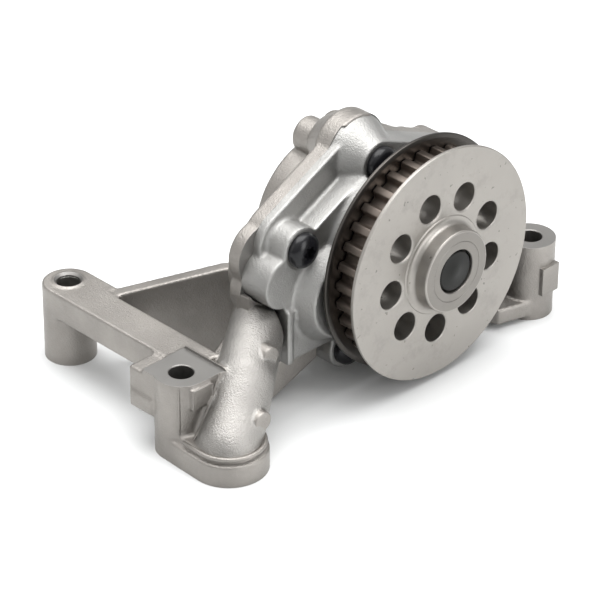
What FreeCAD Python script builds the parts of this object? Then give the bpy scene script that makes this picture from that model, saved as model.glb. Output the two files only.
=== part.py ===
import FreeCAD, Part
import math
import os
import re

import Sketcher
from FreeCAD import Placement, Rotation, Vector

# Belt-driven engine oil pump, millimetres. X runs across the pulley, Y along the shaft from
# the pulley towards the rear, Z up from the mounting plane. The origin is the centre of the
# front bolt hole on the mounting plane. Names ending in _dx and _dz are measured from the
# shaft axis.
SIZES = {
    # Mounting feet
    "bolt_radius": 4.5,
    "foot_height": 31.5,
    "foot_radius": 9.8,
    "front_post_width": 12.4,
    "front_post_depth": 20.5,
    "left_foot_x": 13,
    "left_foot_y": 76,
    "right_foot_x": 160.5,
    "right_foot_y": -20,
    "sleeve_length": 9,
    "sleeve_wall": 0.8,
    # Steps, nib and ear that the casting has beside its feet
    "post_inset": 1,
    "post_skirt": 3,
    "nib_width": 9,
    "nib_height": 7.7,
    "nib_proud": 1.4,
    "nib_drop": 1.5,
    "upper_step_height": 9.5,
    "upper_step_length": 8.2,
    "lower_step_height": 6.5,
    "lower_step_length": 11,
    "heel_length": 16,
    "ear_inset": 2,
    "ear_thickness": 4.5,
    "ear_height": 10,
    "ear_drop": 10,
    # Arms between the feet and the body
    "arm_width": 15.3,
    "arm_depth": 11.5,
    "arm_drop": 0.5,
    "right_arm_depth": 8,
    "right_arm_reach": 42,
    "wall_thickness": 5.5,
    "rib_thickness": 6,
    "neck_reach": 26,
    "keel_start_dx": -57,
    "keel_end_dx": -33,
    "keel_toe": 1,
    "keel_heel": 9.9,
    "keel_thickness": 11.5,
    "wall_height": 29,
    "wall_head_dx": -48,
    "wall_head_y": 32.5,
    "wall_head_dz": -8,
    # Delivery port and the tube that rises from it
    "port_x": 4,
    "port_y": -20,
    "port_radius": 8,
    "port_depth": 9,
    "pad_radius": 14.4,
    "pad_height": 8.5,
    "pad_step": 2.3,
    "pad_inset": 2.2,
    "tube_foot_radius": 11.8,
    "tube_knee_radius": 10.9,
    "tube_head_radius": 9.8,
    "tube_bore_radius": 5.5,
    "tube_head_dx": -49.5,
    "tube_head_y": 10,
    "tube_head_dz": -12,
    "knee_share": 0.45,
    "knee_dx": -3.8,
    "knee_dy": -4,
    "knee_rise": 3.5,
    "seal_radius": 10.6,
    "seal_section": 1.1,
    "seal_gap": 0.1,
    "ejector_radius": 3.8,
    "ejector_length": 10,
    # Shaft and its bushes
    "shaft_x": 99,
    "shaft_z": 48.5,
    "shaft_radius": 8.5,
    "shaft_recess": 0.4,
    "bush_wall": 1.5,
    "running_gap": 0.03,
    "cover_bush_length": 17,
    "rear_bush_length": 10,
    # Toothed pulley
    "tooth_count": 33,
    "belt_pitch": 8,
    "pitch_line_gap": 0.686,
    "groove_radius": 2.6,
    "groove_depth": 3.4,
    "belt_width": 12,
    "groove_turn": 8,
    "flange_rise": 4.17,
    "flange_thickness": 1.5,
    "flange_edge": 1.5,
    "groove_wall": 0.93,
    "hub_radius": 16,
    "hub_rise": 7.2,
    "hub_edge": 0.8,
    "web_thickness": 10,
    "rim_wall": 3.5,
    "rear_hub_radius": 14,
    "rear_hub_proud": 1.5,
    "pulley_gap": 1,
    "hole_radius": 5.5,
    "hole_ring": 26.1,
    "hole_count": 9,
    "hole_turn": 25.3,
    # Cover
    "joint_y": 6,
    "cover_thickness": 12.5,
    "dome_rise": 7.5,
    "dome_radius": 36,
    "dome_draft": 4,
    "bulge_dx": -31,
    "bulge_dz": -8,
    "bulge_radius": 21,
    "shelf_depth": 9,
    "shelf_height": 1.5,
    "flank_height": 11.7,
    "cover_lobe_dx": -54.3,
    "cover_lobe_dz": 3.1,
    "cover_lobe_radius": 9.9,
    "tab_left_dx": -54.6,
    "tab_bottom_dz": -30.5,
    "tab_thickness": 4,
    "tab_rib_width": 3,
    "tab_rib_rise": 1.6,
    "tab_rib_height": 22,
    # Cover screws, from the left one clockwise as seen from the pulley
    "left_screw_dx": -46.7,
    "left_screw_dz": 14.4,
    "upper_screw_dx": -7.5,
    "upper_screw_dz": 34.6,
    "right_screw_dx": 34,
    "right_screw_dz": 18,
    "corner_screw_dx": 29,
    "corner_screw_dz": -31,
    "lower_screw_dx": -23,
    "lower_screw_dz": -36,
    "screw_boss_radius": 8.5,
    "screw_radius": 4,
    "screw_length": 22,
    "screw_head_radius": 6.7,
    "screw_head_height": 4.6,
    "screw_socket_radius": 2.6,
    "screw_socket_depth": 3,
    "screw_clearance": 0.3,
    "screw_end_room": 0.5,
    "screw_boss_depth": 18,
    "dowel_radius": 2.5,
    "dowel_length": 11,
    "left_dowel_dx": -36,
    "left_dowel_dz": 14.5,
    "lower_dowel_dx": 4,
    "lower_dowel_dz": -34.5,
    # Housing
    "cover_room": 1.5,
    "room_depth": 40,
    "room_height": 70,
    "under_room": 30,
    "joint_flange_depth": 6,
    "barrel_radius": 30,
    "rear_wall": 6.5,
    "rear_boss_radius": 15,
    "rear_boss_rise": 8,
    "hump_radius": 14.8,
    "hump_depth": 7,
    "hump_slope": 9,
    "stub_dx": -8.5,
    "stub_dz": 33.1,
    "stub_radius": 7,
    "stub_length": 25,
    "left_lobe_dx": -53,
    "left_lobe_dz": 9.5,
    "left_lobe_radius": 12.5,
    "low_lobe_dx": -54,
    "low_lobe_dz": -3,
    "low_lobe_radius": 11,
    "delivery_dx": -44,
    "delivery_dz": -4,
    "delivery_radius": 7.5,
    "delivery_depth": 13,
    "delivery_wall": 4,
    "suction_dx": 40,
    "suction_dz": -12,
    "suction_radius": 9,
    "suction_wall": 4.5,
    "suction_length": 26,
    # Rotors
    "inner_lobes": 6,
    "eccentricity": 2.5,
    "lobe_centre_radius": 24,
    "lobe_radius": 7.5,
    "rotor_gap": 0.04,
    "outer_rotor_radius": 25,
    "outer_rotor_gap": 0.08,
    "rotor_width": 20,
    "end_gap": 0.05,
    "pin_radius": 2,
    "pin_length": 25,
    "kidney_inner": 14.5,
    "kidney_outer": 20.5,
    "kidney_sweep": 120,
    "kidney_depth": 7,
    "channel_half_width": 5,
    # Pressure relief valve
    "relief_tilt": 30.5,
    "relief_offset": 30,
    "relief_y": 24.5,
    "relief_boss_radius": 6.4,
    "relief_collar": 4,
    "relief_bore_radius": 4.5,
    "relief_seat_radius": 3.6,
    "relief_back": 15.5,
    "relief_seat": 9,
    "relief_length": 26,
    "feed_radius": 2.5,
    "spill_radius": 2.2,
    "piston_length": 12,
    "piston_wall": 1.3,
    "piston_crown": 4,
    "piston_travel": 6,
    "spring_wire": 0.5,
    "spring_turns": 8,
    "plug_thread": 8,
    "plug_head_radius": 7.5,
    "plug_head": 5,
    "washer_thickness": 1.5,
}

DOC = FreeCAD.newDocument("OilPump")
SHEET = DOC.addObject("Spreadsheet::Sheet", "Sizes")
for row, (alias, size) in enumerate(SIZES.items(), start=1):
    SHEET.set("A%d" % row, alias)
    SHEET.set("B%d" % row, str(size))
    SHEET.setAlias("B%d" % row, alias)
DOC.recompute()

NAMES = re.compile(r"\b(" + "|".join(SIZES) + r")\b")
UPRIGHT = Rotation()
ALONG_Y = Rotation(Vector(1, 0, 0), -90)
TOWARDS_PULLEY = Rotation(Vector(1, 0, 0), 90)

# Places that several pieces share, as formulas in the names of the sheet
COVER_FRONT = "(joint_y - cover_thickness)"
DOME_FRONT = "(joint_y - cover_thickness - dome_rise)"
PULLEY_LENGTH = "(2 * flange_thickness + belt_width + rear_hub_proud)"
PULLEY_FACE = "(%s - pulley_gap - %s)" % (DOME_FRONT, PULLEY_LENGTH)
CHAMBER_END = "(joint_y + rotor_width + 2 * end_gap)"
HOUSING_END = "(%s + rear_wall)" % CHAMBER_END
TIP_RADIUS = "(tooth_count * belt_pitch / (2 * pi) - pitch_line_gap)"
FLANGE_RADIUS = "(%s + flange_rise)" % TIP_RADIUS
SEAT_RADIUS = "(%s - groove_depth - groove_wall)" % TIP_RADIUS
RIM_INNER = "(%s - rim_wall)" % SEAT_RADIUS
LEFT_SLEEVE = "(foot_height - arm_drop - 1)"
SCREW_BITE = "(screw_length - cover_thickness + screw_end_room)"
SCREWS = ("left_screw", "upper_screw", "right_screw", "corner_screw", "lower_screw")
DOWELS = ("left_dowel", "lower_dowel")


def value(formula):
    """Number that a formula has with the sizes on the sheet."""
    text = NAMES.sub(lambda found: repr(float(SHEET.get(found.group()))), str(formula))
    total = FreeCAD.Units.Quantity(text.replace("pi", repr(math.pi)))
    return total.Value


def bind(thing, prop, formula):
    """Tie a property to a formula in the names of the sheet."""
    thing.setExpression(prop, NAMES.sub(r"Sizes.\1", str(formula)))


def place(thing, x, y, z, turn):
    thing.Placement = Placement(Vector(), turn)
    bind(thing, "Placement.Base.x", x)
    bind(thing, "Placement.Base.y", y)
    bind(thing, "Placement.Base.z", z)
    return thing


def across(name):
    """X and Z formulas of a centre that is measured from the shaft axis."""
    return "shaft_x + %s_dx" % name, "shaft_z + %s_dz" % name


def cylinder(radius, length, x, y, z, turn):
    thing = DOC.addObject("Part::Cylinder", "Cylinder")
    bind(thing, "Radius", radius)
    bind(thing, "Height", length)
    return place(thing, x, y, z, turn)


def cone(foot_radius, head_radius, length, x, y, z, turn):
    thing = DOC.addObject("Part::Cone", "Cone")
    bind(thing, "Radius1", foot_radius)
    bind(thing, "Radius2", head_radius)
    bind(thing, "Height", length)
    return place(thing, x, y, z, turn)


def box(x, y, z, length, width, height, turn=UPRIGHT):
    thing = DOC.addObject("Part::Box", "Box")
    bind(thing, "Length", length)
    bind(thing, "Width", width)
    bind(thing, "Height", height)
    return place(thing, x, y, z, turn)


def lobe(name, radius, y, depth):
    """Round boss along the shaft direction at a named centre."""
    x, z = across(name)
    return cylinder(radius, depth, x, y, z, ALONG_Y)


def bar(first, second, low, high, y, depth):
    """Flat bar between two named centres, from low to high beside the line that joins them."""
    (x1, z1), (x2, z2) = across(first), across(second)
    run, rise = "(%s - (%s))" % (x2, x1), "(%s - (%s))" % (z2, z1)
    length = "sqrt(%s ^ 2 + %s ^ 2)" % (run, rise)
    dx = value(x2) - value(x1)
    dz = value(z2) - value(z1)
    turn = Rotation(Vector(0, -1, 0), math.degrees(math.atan2(dz, dx)))
    x = "%s - (%s) * %s / %s" % (x1, low, rise, length)
    z = "%s + (%s) * %s / %s" % (z1, low, run, length)
    return box(x, y, z, length, depth, "%s - (%s)" % (high, low), turn)


def fuse(*shapes):
    thing = DOC.addObject("Part::MultiFuse", "Fusion")
    thing.Shapes = list(shapes)
    return thing


def cut(base, *tools):
    thing = DOC.addObject("Part::Cut", "Cut")
    thing.Base = base
    thing.Tool = tools[0] if len(tools) == 1 else fuse(*tools)
    return thing


def named(thing, node):
    thing.Label = node
    return node, thing


def feature(shape):
    """Object for a shape that has no primitive of its own."""
    thing = DOC.addObject("Part::Feature", "Shaped")
    thing.Shape = shape
    return thing


def plate(points, thickness):
    """Flat plate whose outline is a list of points, with its thickness shared to both sides."""
    face = Part.Face(Part.makePolygon(points + points[:1]))
    normal = face.normalAt(0, 0)
    face.translate(normal * (-thickness / 2))
    return feature(face.extrude(normal * thickness))


def upright_plate(start, end, profile, thickness):
    """Standing wall between two points in plan; the profile lists shares of its run and heights."""
    points = []
    for share, height in profile:
        x = start[0] + share * (end[0] - start[0])
        y = start[1] + share * (end[1] - start[1])
        points.append(Vector(x, y, height))
    return plate(points, thickness)


def level_plate(corners, height, thickness):
    """Lying wall whose outline is a list of points in plan."""
    return plate([Vector(x, y, height) for x, y in corners], thickness)


def origin_plane(body, role):
    return next(plane for plane in body.Origin.OriginFeatures if plane.Role == role)


def outline_sketch(body, points, role="XZ_Plane"):
    """Closed sketch of straight lines whose corners are formulas in the names of the sheet."""
    sketch = body.newObject("Sketcher::SketchObject", "Profile")
    sketch.AttachmentSupport = (origin_plane(body, role), "")
    sketch.MapMode = "FlatFace"
    spots = [Vector(value(across_), value(along), 0) for across_, along in points]
    for index, spot in enumerate(spots):
        sketch.addGeometry(Part.LineSegment(spot, spots[(index + 1) % len(spots)]))
    for index, (across_, along) in enumerate(points):
        following = (index + 1) % len(points)
        sketch.addConstraint(Sketcher.Constraint("Coincident", index, 2, following, 1))
        for kind, formula in (("DistanceX", across_), ("DistanceY", along)):
            rule = sketch.addConstraint(Sketcher.Constraint(kind, -1, 1, index, 1, value(formula)))
            bind(sketch, "Constraints[%d]" % rule, formula)
    return sketch


def turned(points, x, y, z, turn):
    """Body turned about its own Z axis from a half section of radius and height formulas."""
    body = DOC.addObject("PartDesign::Body", "Turned")
    sketch = outline_sketch(body, points)
    revolution = body.newObject("PartDesign::Revolution", "Revolution")
    revolution.Profile = sketch
    revolution.ReferenceAxis = (sketch, ["V_Axis"])
    revolution.Angle = 360
    body.Tip = revolution
    return place(body, x, y, z, turn)


def polar_pocket(body, x, radius, count, turn, depth):
    """Round pockets from the body's own base plane, repeated about its Z axis."""
    sketch = body.newObject("Sketcher::SketchObject", "Hole")
    sketch.AttachmentSupport = (origin_plane(body, "XY_Plane"), "")
    sketch.MapMode = "FlatFace"
    angle = math.radians(value(turn))
    spot = Vector(value(x) * math.cos(angle), value(x) * math.sin(angle), 0)
    sketch.addGeometry(Part.Circle(spot, Vector(0, 0, 1), value(radius)))
    rules = (
        ("DistanceX", "%s * cos(%s)" % (x, turn), spot.x),
        ("DistanceY", "%s * sin(%s)" % (x, turn), spot.y),
    )
    for kind, formula, start in rules:
        rule = sketch.addConstraint(Sketcher.Constraint(kind, -1, 1, 0, 3, start))
        bind(sketch, "Constraints[%d]" % rule, formula)
    rule = sketch.addConstraint(Sketcher.Constraint("Radius", 0, value(radius)))
    bind(sketch, "Constraints[%d]" % rule, radius)
    pocket = body.newObject("PartDesign::Pocket", "Pocket")
    pocket.Profile = sketch
    pocket.Reversed = False
    bind(pocket, "Length", depth)
    DOC.recompute()
    pattern = body.newObject("PartDesign::PolarPattern", "Ring")
    pattern.Originals = [pocket]
    pattern.Axis = (sketch, ["N_Axis"])
    pattern.Angle = 360
    bind(pattern, "Occurrences", count)
    body.Tip = pattern


def joint_flange(y, depth):
    """Lobes and bars that the cover and the housing share around the joint, right of the flank."""
    shapes = [lobe(name, "screw_boss_radius", y, depth) for name in SCREWS]
    ring = SCREWS[1:]
    for first, second in zip(ring, ring[1:]):
        shapes.append(bar(first, second, "-screw_boss_radius", "screw_boss_radius", y, depth))
    shapes.append(lobe("bulge", "bulge_radius", y, depth))
    return shapes


def screw_holes(radius, y, depth):
    return [lobe(name, radius, y, depth) for name in SCREWS]


def kidney(turn, y, depth):
    """Curved port in the cover's inner face, centred on the outer rotor's axis."""
    x, z = "shaft_x - eccentricity", "shaft_z"
    spin = Rotation(Vector(0, 1, 0), -turn) * ALONG_Y
    sector = cylinder("kidney_outer", depth, x, y, z, spin)
    bind(sector, "Angle", "kidney_sweep")
    core = cylinder("kidney_inner", depth, x, y, z, ALONG_Y)
    return cut(sector, core)


def channel(start, end, half_width, y, depth):
    """Straight passage between two points given as pairs of offsets from the shaft axis."""
    start_point = Vector(start[0], 0, start[1])
    run = Vector(end[0], 0, end[1]) - start_point
    turn = Rotation(Vector(0, -1, 0), math.degrees(math.atan2(run.z, run.x)))
    side = turn.multVec(Vector(0, 0, half_width))
    x = "shaft_x + %r" % (start_point.x - side.x)
    z = "shaft_z + %r" % (start_point.z - side.z)
    return box(x, y, z, run.Length, depth, 2 * half_width, turn)


def cover():
    inner_y = "joint_y - kidney_depth"
    flank_y = "%s + shelf_depth" % COVER_FRONT
    plain = fuse(
        *joint_flange(COVER_FRONT, "cover_thickness"),
        cylinder("dome_radius", "cover_thickness", "shaft_x", COVER_FRONT, "shaft_z", ALONG_Y),
        cone(
            "dome_radius", "dome_radius - dome_draft", "dome_rise",
            "shaft_x", COVER_FRONT, "shaft_z", TOWARDS_PULLEY,
        ),
        cone(
            "bulge_radius - 1", "bulge_radius - 1 - dome_draft", "dome_rise",
            *place_of("bulge", COVER_FRONT), TOWARDS_PULLEY,
        ),
        lobe("cover_lobe", "cover_lobe_radius", COVER_FRONT, "cover_thickness"),
        bar("left_screw", "upper_screw", "-flank_height", "shelf_height", COVER_FRONT,
            "cover_thickness"),
        bar("left_screw", "upper_screw", "-flank_height", "flank_height", flank_y,
            "cover_thickness - shelf_depth"),
        lobe("left_screw", "flank_height", flank_y, "cover_thickness - shelf_depth"),
        cone(
            "screw_boss_radius", "hump_radius", "cover_thickness - 1",
            *place_of("upper_screw", "%s + 1" % COVER_FRONT), ALONG_Y,
        ),
        box(
            "shaft_x + tab_left_dx", COVER_FRONT, "shaft_z + tab_bottom_dz",
            "lower_screw_dx - tab_left_dx", "tab_thickness",
            "cover_lobe_dz - 0.8 * cover_lobe_radius - tab_bottom_dz",
        ),
    )
    tab_rib = box(
        "shaft_x + tab_left_dx", COVER_FRONT + " - tab_rib_rise", "shaft_z + tab_bottom_dz",
        "tab_rib_width", "tab_rib_rise + tab_thickness", "tab_rib_height",
    )
    base = fuse(plain, tab_rib)
    delivery = (value("delivery_dx"), value("delivery_dz"))
    suction = (value("suction_dx"), value("suction_dz"))
    port_middle = value("(kidney_inner + kidney_outer) / 2")
    low_end = (port_middle * math.cos(math.radians(-40)), port_middle * math.sin(math.radians(-40)))
    high_end = (-port_middle, 0.45 * port_middle)
    relief_feed = relief_point("-relief_back + 3", "-2.9")
    upper_turn = 90 - value("kidney_sweep") / 2
    body = cut(
        base,
        cylinder("shaft_radius + bush_wall", "cover_thickness + dome_rise",
                 "shaft_x", DOME_FRONT, "shaft_z", ALONG_Y),
        *screw_holes("screw_radius + screw_clearance", COVER_FRONT, "cover_thickness"),
        *screw_holes("screw_head_radius + 1", DOME_FRONT, "dome_rise"),
        *[lobe(name, "dowel_radius", "joint_y - dowel_length / 2", "dowel_length / 2")
          for name in DOWELS],
        kidney(upper_turn, inner_y, "kidney_depth"),
        kidney(upper_turn + 180, inner_y, "kidney_depth"),
        channel(high_end, delivery, value("channel_half_width"), inner_y, "kidney_depth"),
        lobe("delivery", "delivery_radius", inner_y, "kidney_depth"),
        channel(low_end, suction, value("channel_half_width"), inner_y, "kidney_depth"),
        channel((2, port_middle), (relief_feed.x, relief_feed.z), value("feed_radius"), inner_y,
                "kidney_depth"),
    )
    return named(body, "pump_cover")


def place_of(name, y):
    """Placement formulas of a named centre at a depth."""
    x, z = across(name)
    return x, y, z


def relief_direction():
    tilt = math.radians(value("relief_tilt"))
    return Vector(math.cos(tilt), 0, -math.sin(tilt))


def relief_point(along, beside="0"):
    """Point of the relief valve's axis plane, measured from the shaft axis."""
    direction = relief_direction()
    normal = Vector(-direction.z, 0, direction.x)
    return direction * value(along) + normal * value("relief_offset + (%s)" % beside)


def on_relief(thing, along):
    """Lay a piece that stands on its own Z axis on the relief valve's axis."""
    turn = Rotation(Vector(0, 0, 1), relief_direction())
    tilt = "relief_tilt"
    x = "shaft_x + (%s) * cos(%s) + relief_offset * sin(%s)" % (along, tilt, tilt)
    z = "shaft_z - (%s) * sin(%s) + relief_offset * cos(%s)" % (along, tilt, tilt)
    return place(thing, x, "relief_y", z, turn)


def relief_cylinder(radius, start, length):
    return on_relief(cylinder(radius, length, 0, 0, 0, UPRIGHT), start)


def tube_route():
    """Centre line of the delivery tube: port pad, knee and delivery chamber."""
    foot = Vector(value("port_x"), value("port_y"), value("pad_height"))
    head = Vector(value("shaft_x + tube_head_dx"), value("tube_head_y"),
                  value("shaft_z + tube_head_dz"))
    lift = Vector(value("knee_dx"), value("knee_dy"), value("knee_rise"))
    knee = foot + (head - foot) * value("knee_share") + lift
    return foot, knee, head


def tube_span(start, end, start_radius, end_radius):
    run = end - start
    shape = cone(start_radius, end_radius, run.Length, 0, 0, 0, Rotation(Vector(0, 0, 1), run))
    for axis, base in zip("xyz", start):
        bind(shape, "Placement.Base." + axis, repr(base))
    return shape


def ball(radius, centre):
    thing = DOC.addObject("Part::Sphere", "Ball")
    bind(thing, "Radius", radius)
    return place(thing, *[repr(spot) for spot in centre], UPRIGHT)


def tube(foot_radius, knee_radius, head_radius):
    """Two straight spans of the delivery tube, or of its bore, with a ball in the knee."""
    foot, knee, head = tube_route()
    return [
        tube_span(foot, knee, foot_radius, knee_radius),
        ball(knee_radius, knee),
        tube_span(knee, head, knee_radius, head_radius),
    ]


def hull(first_radius, x, y, second_radius, height):
    """Block around the front foot's circle and a second one, joined by their tangents."""
    small, large = value(first_radius), value(second_radius)
    centre = Vector(value(x), value(y), 0)
    lean = math.acos((small - large) / centre.Length)
    heading = math.atan2(centre.y, centre.x)
    corners = []
    for side, start, radius in ((1, Vector(), small), (1, centre, large),
                                (-1, centre, large), (-1, Vector(), small)):
        angle = heading + side * lean
        corners.append(start + Vector(math.cos(angle), math.sin(angle), 0) * radius)
    face = Part.Face(Part.makePolygon(corners + corners[:1]))
    core = feature(face.extrude(Vector(0, 0, value(height))))
    return [
        core,
        cylinder(first_radius, height, 0, 0, 0, UPRIGHT),
        cylinder(second_radius, height, x, y, 0, UPRIGHT),
    ]


def feet():
    """Three bolt feet, the port pad and the left arm."""
    arm_z = "foot_height - arm_depth"
    arm_height = "arm_depth - arm_drop"
    return [
        *hull("foot_radius", "port_x", "port_y", "pad_radius", "pad_height"),
        *hull("foot_radius - pad_inset", "port_x", "port_y", "pad_radius - pad_inset",
              "pad_height + pad_step"),
        cylinder("foot_radius", "foot_height", 0, 0, 0, UPRIGHT),
        box(0, "-foot_radius", 0, "front_post_width", "front_post_depth", "foot_height"),
        box("post_inset - foot_radius", 0, "foot_height - arm_depth - post_skirt", "foot_radius",
            "front_post_depth - foot_radius", "arm_depth + post_skirt"),
        box("-nib_width / 2", "-foot_radius - nib_proud", "foot_height - nib_drop - nib_height",
            "nib_width", "foot_radius / 2", "nib_height"),
        box("post_inset - foot_radius", "foot_radius", "foot_height - nib_drop - upper_step_height",
            "foot_radius + post_skirt", "upper_step_length", "upper_step_height"),
        box("-foot_radius", "foot_radius - 4",
            "foot_height - nib_drop - upper_step_height - lower_step_height + 0.5",
            "foot_radius + post_skirt", "lower_step_length", "lower_step_height"),
        cylinder("foot_radius", "foot_height - arm_drop", "left_foot_x", "left_foot_y", 0, UPRIGHT),
        box("left_foot_x - foot_radius", 0, arm_z, "arm_width", "left_foot_y", arm_height),
        box("left_foot_x", "left_foot_y - heel_length", arm_z, "foot_radius", "heel_length",
            arm_height),
        cylinder("foot_radius", "foot_height", "right_foot_x", "right_foot_y", 0, UPRIGHT),
        box("right_foot_x + ear_inset", "right_foot_y - 3 * ear_inset",
            "foot_height - ear_drop - ear_height", "foot_radius - ear_inset / 2", "ear_thickness",
            "ear_height"),
    ]


def webs():
    """Walls and ribs that tie the feet and the tube to the pump body."""
    top = value("foot_height")
    shaft_x, shaft_z = value("shaft_x"), value("shaft_z")
    left_x, left_y = value("left_foot_x"), value("left_foot_y")
    right_x, right_y = value("right_foot_x"), value("right_foot_y")
    head_x, head_y = shaft_x + value("wall_head_dx"), value("wall_head_y")
    head_z = shaft_z + value("wall_head_dz")
    low = top - value("wall_height")
    arm_floor = top - value("arm_depth")
    wall = upright_plate(
        (left_x - 1, left_y - 11), (head_x, head_y),
        [(0, top - 0.8), (0.2, top - 0.8), (1, head_z), (1.25, head_z), (1.25, low), (0.45, low),
         (0, arm_floor)],
        value("wall_thickness"),
    )
    tube_x, tube_y = shaft_x + value("tube_head_dx"), value("tube_head_y")
    tube_z = shaft_z + value("tube_head_dz")
    foot_x = value("port_x") + 8
    neck_y = tube_y - value("rib_thickness") / 2
    neck = upright_plate(
        (foot_x, neck_y), (tube_x + value("neck_reach"), neck_y),
        [(0, value("pad_height") + 6), (1, tube_z - 12), (1, tube_z + 6), (0.5, tube_z + 4)],
        value("rib_thickness"),
    )
    keel_y = value("joint_y - 1.75")
    keel = upright_plate(
        (shaft_x + value("keel_start_dx"), keel_y), (shaft_x + value("keel_end_dx"), keel_y),
        [(0, value("keel_toe")), (1, value("keel_heel")), (1, tube_z - 8.5), (0, tube_z - 6.5)],
        value("keel_thickness"),
    )
    thickness = value("right_arm_depth")
    floor_z = thickness / 2 + 2
    reach = right_y + value("right_arm_reach")
    corner_x = shaft_x + value("corner_screw_dx")
    right_arm = level_plate(
        [
            (right_x - 7, right_y), (right_x + 7, right_y), (right_x + 5, reach),
            (corner_x, reach), (corner_x, reach - 13), (right_x - 16, reach - 13),
        ],
        floor_z, thickness,
    )
    right_rib = upright_plate(
        (right_x - 3, right_y + 5), (corner_x, reach - 6),
        [(0, top - 6), (0, floor_z), (1, floor_z), (1, shaft_z - 10)],
        value("rib_thickness"),
    )
    return [wall, neck, keel, right_arm, right_rib]


def ejector_bosses():
    """Round pads that the casting's ejector pins leave beside the tube."""
    low = cylinder("ejector_radius", "ejector_length", "port_x + 8.9", "port_y - 8.35",
                   "pad_height + 9.4", ALONG_Y)
    high = cylinder("ejector_radius", "ejector_length", "port_x + 24.3", "port_y + 3.7",
                    "pad_height + 24.2", ALONG_Y)
    return [low, high]


def housing_body():
    """Outer form of the pump body behind the joint."""
    flange = joint_flange("joint_y", "joint_flange_depth")
    depth = "(%s - joint_y)" % CHAMBER_END
    boss_depth = "%s + rear_wall" % depth
    return flange + [
        lobe("left_lobe", "left_lobe_radius", "joint_y", "joint_flange_depth"),
        lobe("low_lobe", "low_lobe_radius", "joint_y", "joint_flange_depth"),
        lobe("upper_screw", "hump_radius", "joint_y", "hump_depth"),
        cone("hump_radius", "stub_radius + 1.5", "hump_slope",
             *place_of("upper_screw", "joint_y + hump_depth"), ALONG_Y),
        lobe("left_screw", "flank_height", "joint_y", "joint_flange_depth"),
        bar("left_screw", "upper_screw", "-flank_height", "flank_height", "joint_y",
            "joint_flange_depth"),
        bar("low_lobe", "left_lobe", "-bulge_radius", "2", "joint_y", "joint_flange_depth"),
        cylinder("barrel_radius", boss_depth, "shaft_x - eccentricity", "joint_y", "shaft_z", ALONG_Y),
        cone("rear_boss_radius + 2", "rear_boss_radius", "rear_boss_rise",
             "shaft_x", HOUSING_END, "shaft_z", ALONG_Y),
        lobe("delivery", "delivery_radius + delivery_wall", "joint_y",
             "delivery_depth + delivery_wall"),
        bar("delivery", "bulge", "-suction_radius", "suction_radius", "joint_y",
            "delivery_depth + delivery_wall / 2"),
        lobe("suction", "suction_radius + suction_wall", "joint_y", "suction_length"),
        bar("bulge", "suction", "-4", "suction_radius", "joint_y",
            "suction_length - joint_flange_depth"),
        lobe("stub", "stub_radius", "joint_y", "stub_length"),
        lobe("right_screw", "screw_boss_radius", "joint_y", SCREW_BITE),
        lobe("lower_screw", "screw_boss_radius", "joint_y", "screw_boss_depth"),
        lobe("corner_screw", "screw_boss_radius", "joint_y", "screw_boss_depth"),
        relief_cylinder("relief_boss_radius", "-relief_back - 3", "relief_back + 3 + relief_length"),
        relief_cylinder("plug_head_radius", "relief_length - relief_collar", "relief_collar"),
    ]


def housing_cuts():
    """Chamber, passages, bores and threads of the housing."""
    bore_depth = "rear_bush_length + 1"
    feed = relief_point("-relief_back + 3", "-2.9")
    spill = relief_point("4 - relief_seat")
    outward = relief_point("4 - relief_seat", "20")
    joint = "joint_y"
    feet_in_plan = (
        ("0", "0"), ("left_foot_x", "left_foot_y"), ("right_foot_x", "right_foot_y"),
    )
    return [
        *[cylinder("bolt_radius", "foot_height", x, y, 0, UPRIGHT) for x, y in feet_in_plan],
        box("-under_room", "-2 * under_room", "-under_room", "right_foot_x + 2 * under_room",
            "left_foot_y + 3 * under_room", "under_room"),
        cylinder("bolt_radius + sleeve_wall", LEFT_SLEEVE, "left_foot_x", "left_foot_y", 0, UPRIGHT),
        cylinder("bolt_radius + sleeve_wall", "sleeve_length", "right_foot_x", "right_foot_y",
                 0, UPRIGHT),
        cylinder("port_radius", "port_depth", "port_x", "port_y", 0, UPRIGHT),
        cut(
            cylinder("seal_radius + seal_section + seal_gap", "2 * (seal_section + seal_gap)",
                     "port_x", "port_y", 0, UPRIGHT),
            cylinder("seal_radius - seal_section - seal_gap", "2 * (seal_section + seal_gap)",
                     "port_x", "port_y", 0, UPRIGHT),
        ),
        *tube("tube_bore_radius", "tube_bore_radius", "tube_bore_radius"),
        cylinder("outer_rotor_radius + outer_rotor_gap", "rotor_width + 2 * end_gap",
                 "shaft_x - eccentricity", joint, "shaft_z", ALONG_Y),
        cylinder("shaft_radius + bush_wall", bore_depth, "shaft_x", CHAMBER_END, "shaft_z", ALONG_Y),
        lobe("delivery", "delivery_radius", joint, "delivery_depth"),
        lobe("suction", "suction_radius", joint, "suction_length"),
        *screw_holes("screw_radius", joint, SCREW_BITE),
        *[lobe(name, "dowel_radius", joint, "dowel_length / 2") for name in DOWELS],
        relief_cylinder("relief_seat_radius", "-relief_back", "relief_back"),
        relief_cylinder("relief_bore_radius", "-relief_seat", "relief_seat + relief_length"),
        cylinder("feed_radius", "relief_y - joint_y", "shaft_x + %r" % feed.x, joint,
                 "shaft_z + %r" % feed.z, ALONG_Y),
        spill_hole(spill, outward),
    ]


def spill_hole(start, end):
    """Hole that the relief piston uncovers."""
    turn = Rotation(Vector(0, 0, 1), end - start)
    x, z = "shaft_x + %r" % start.x, "shaft_z + %r" % start.z
    return cylinder("spill_radius", (end - start).Length, x, "relief_y", z, turn)


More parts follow.
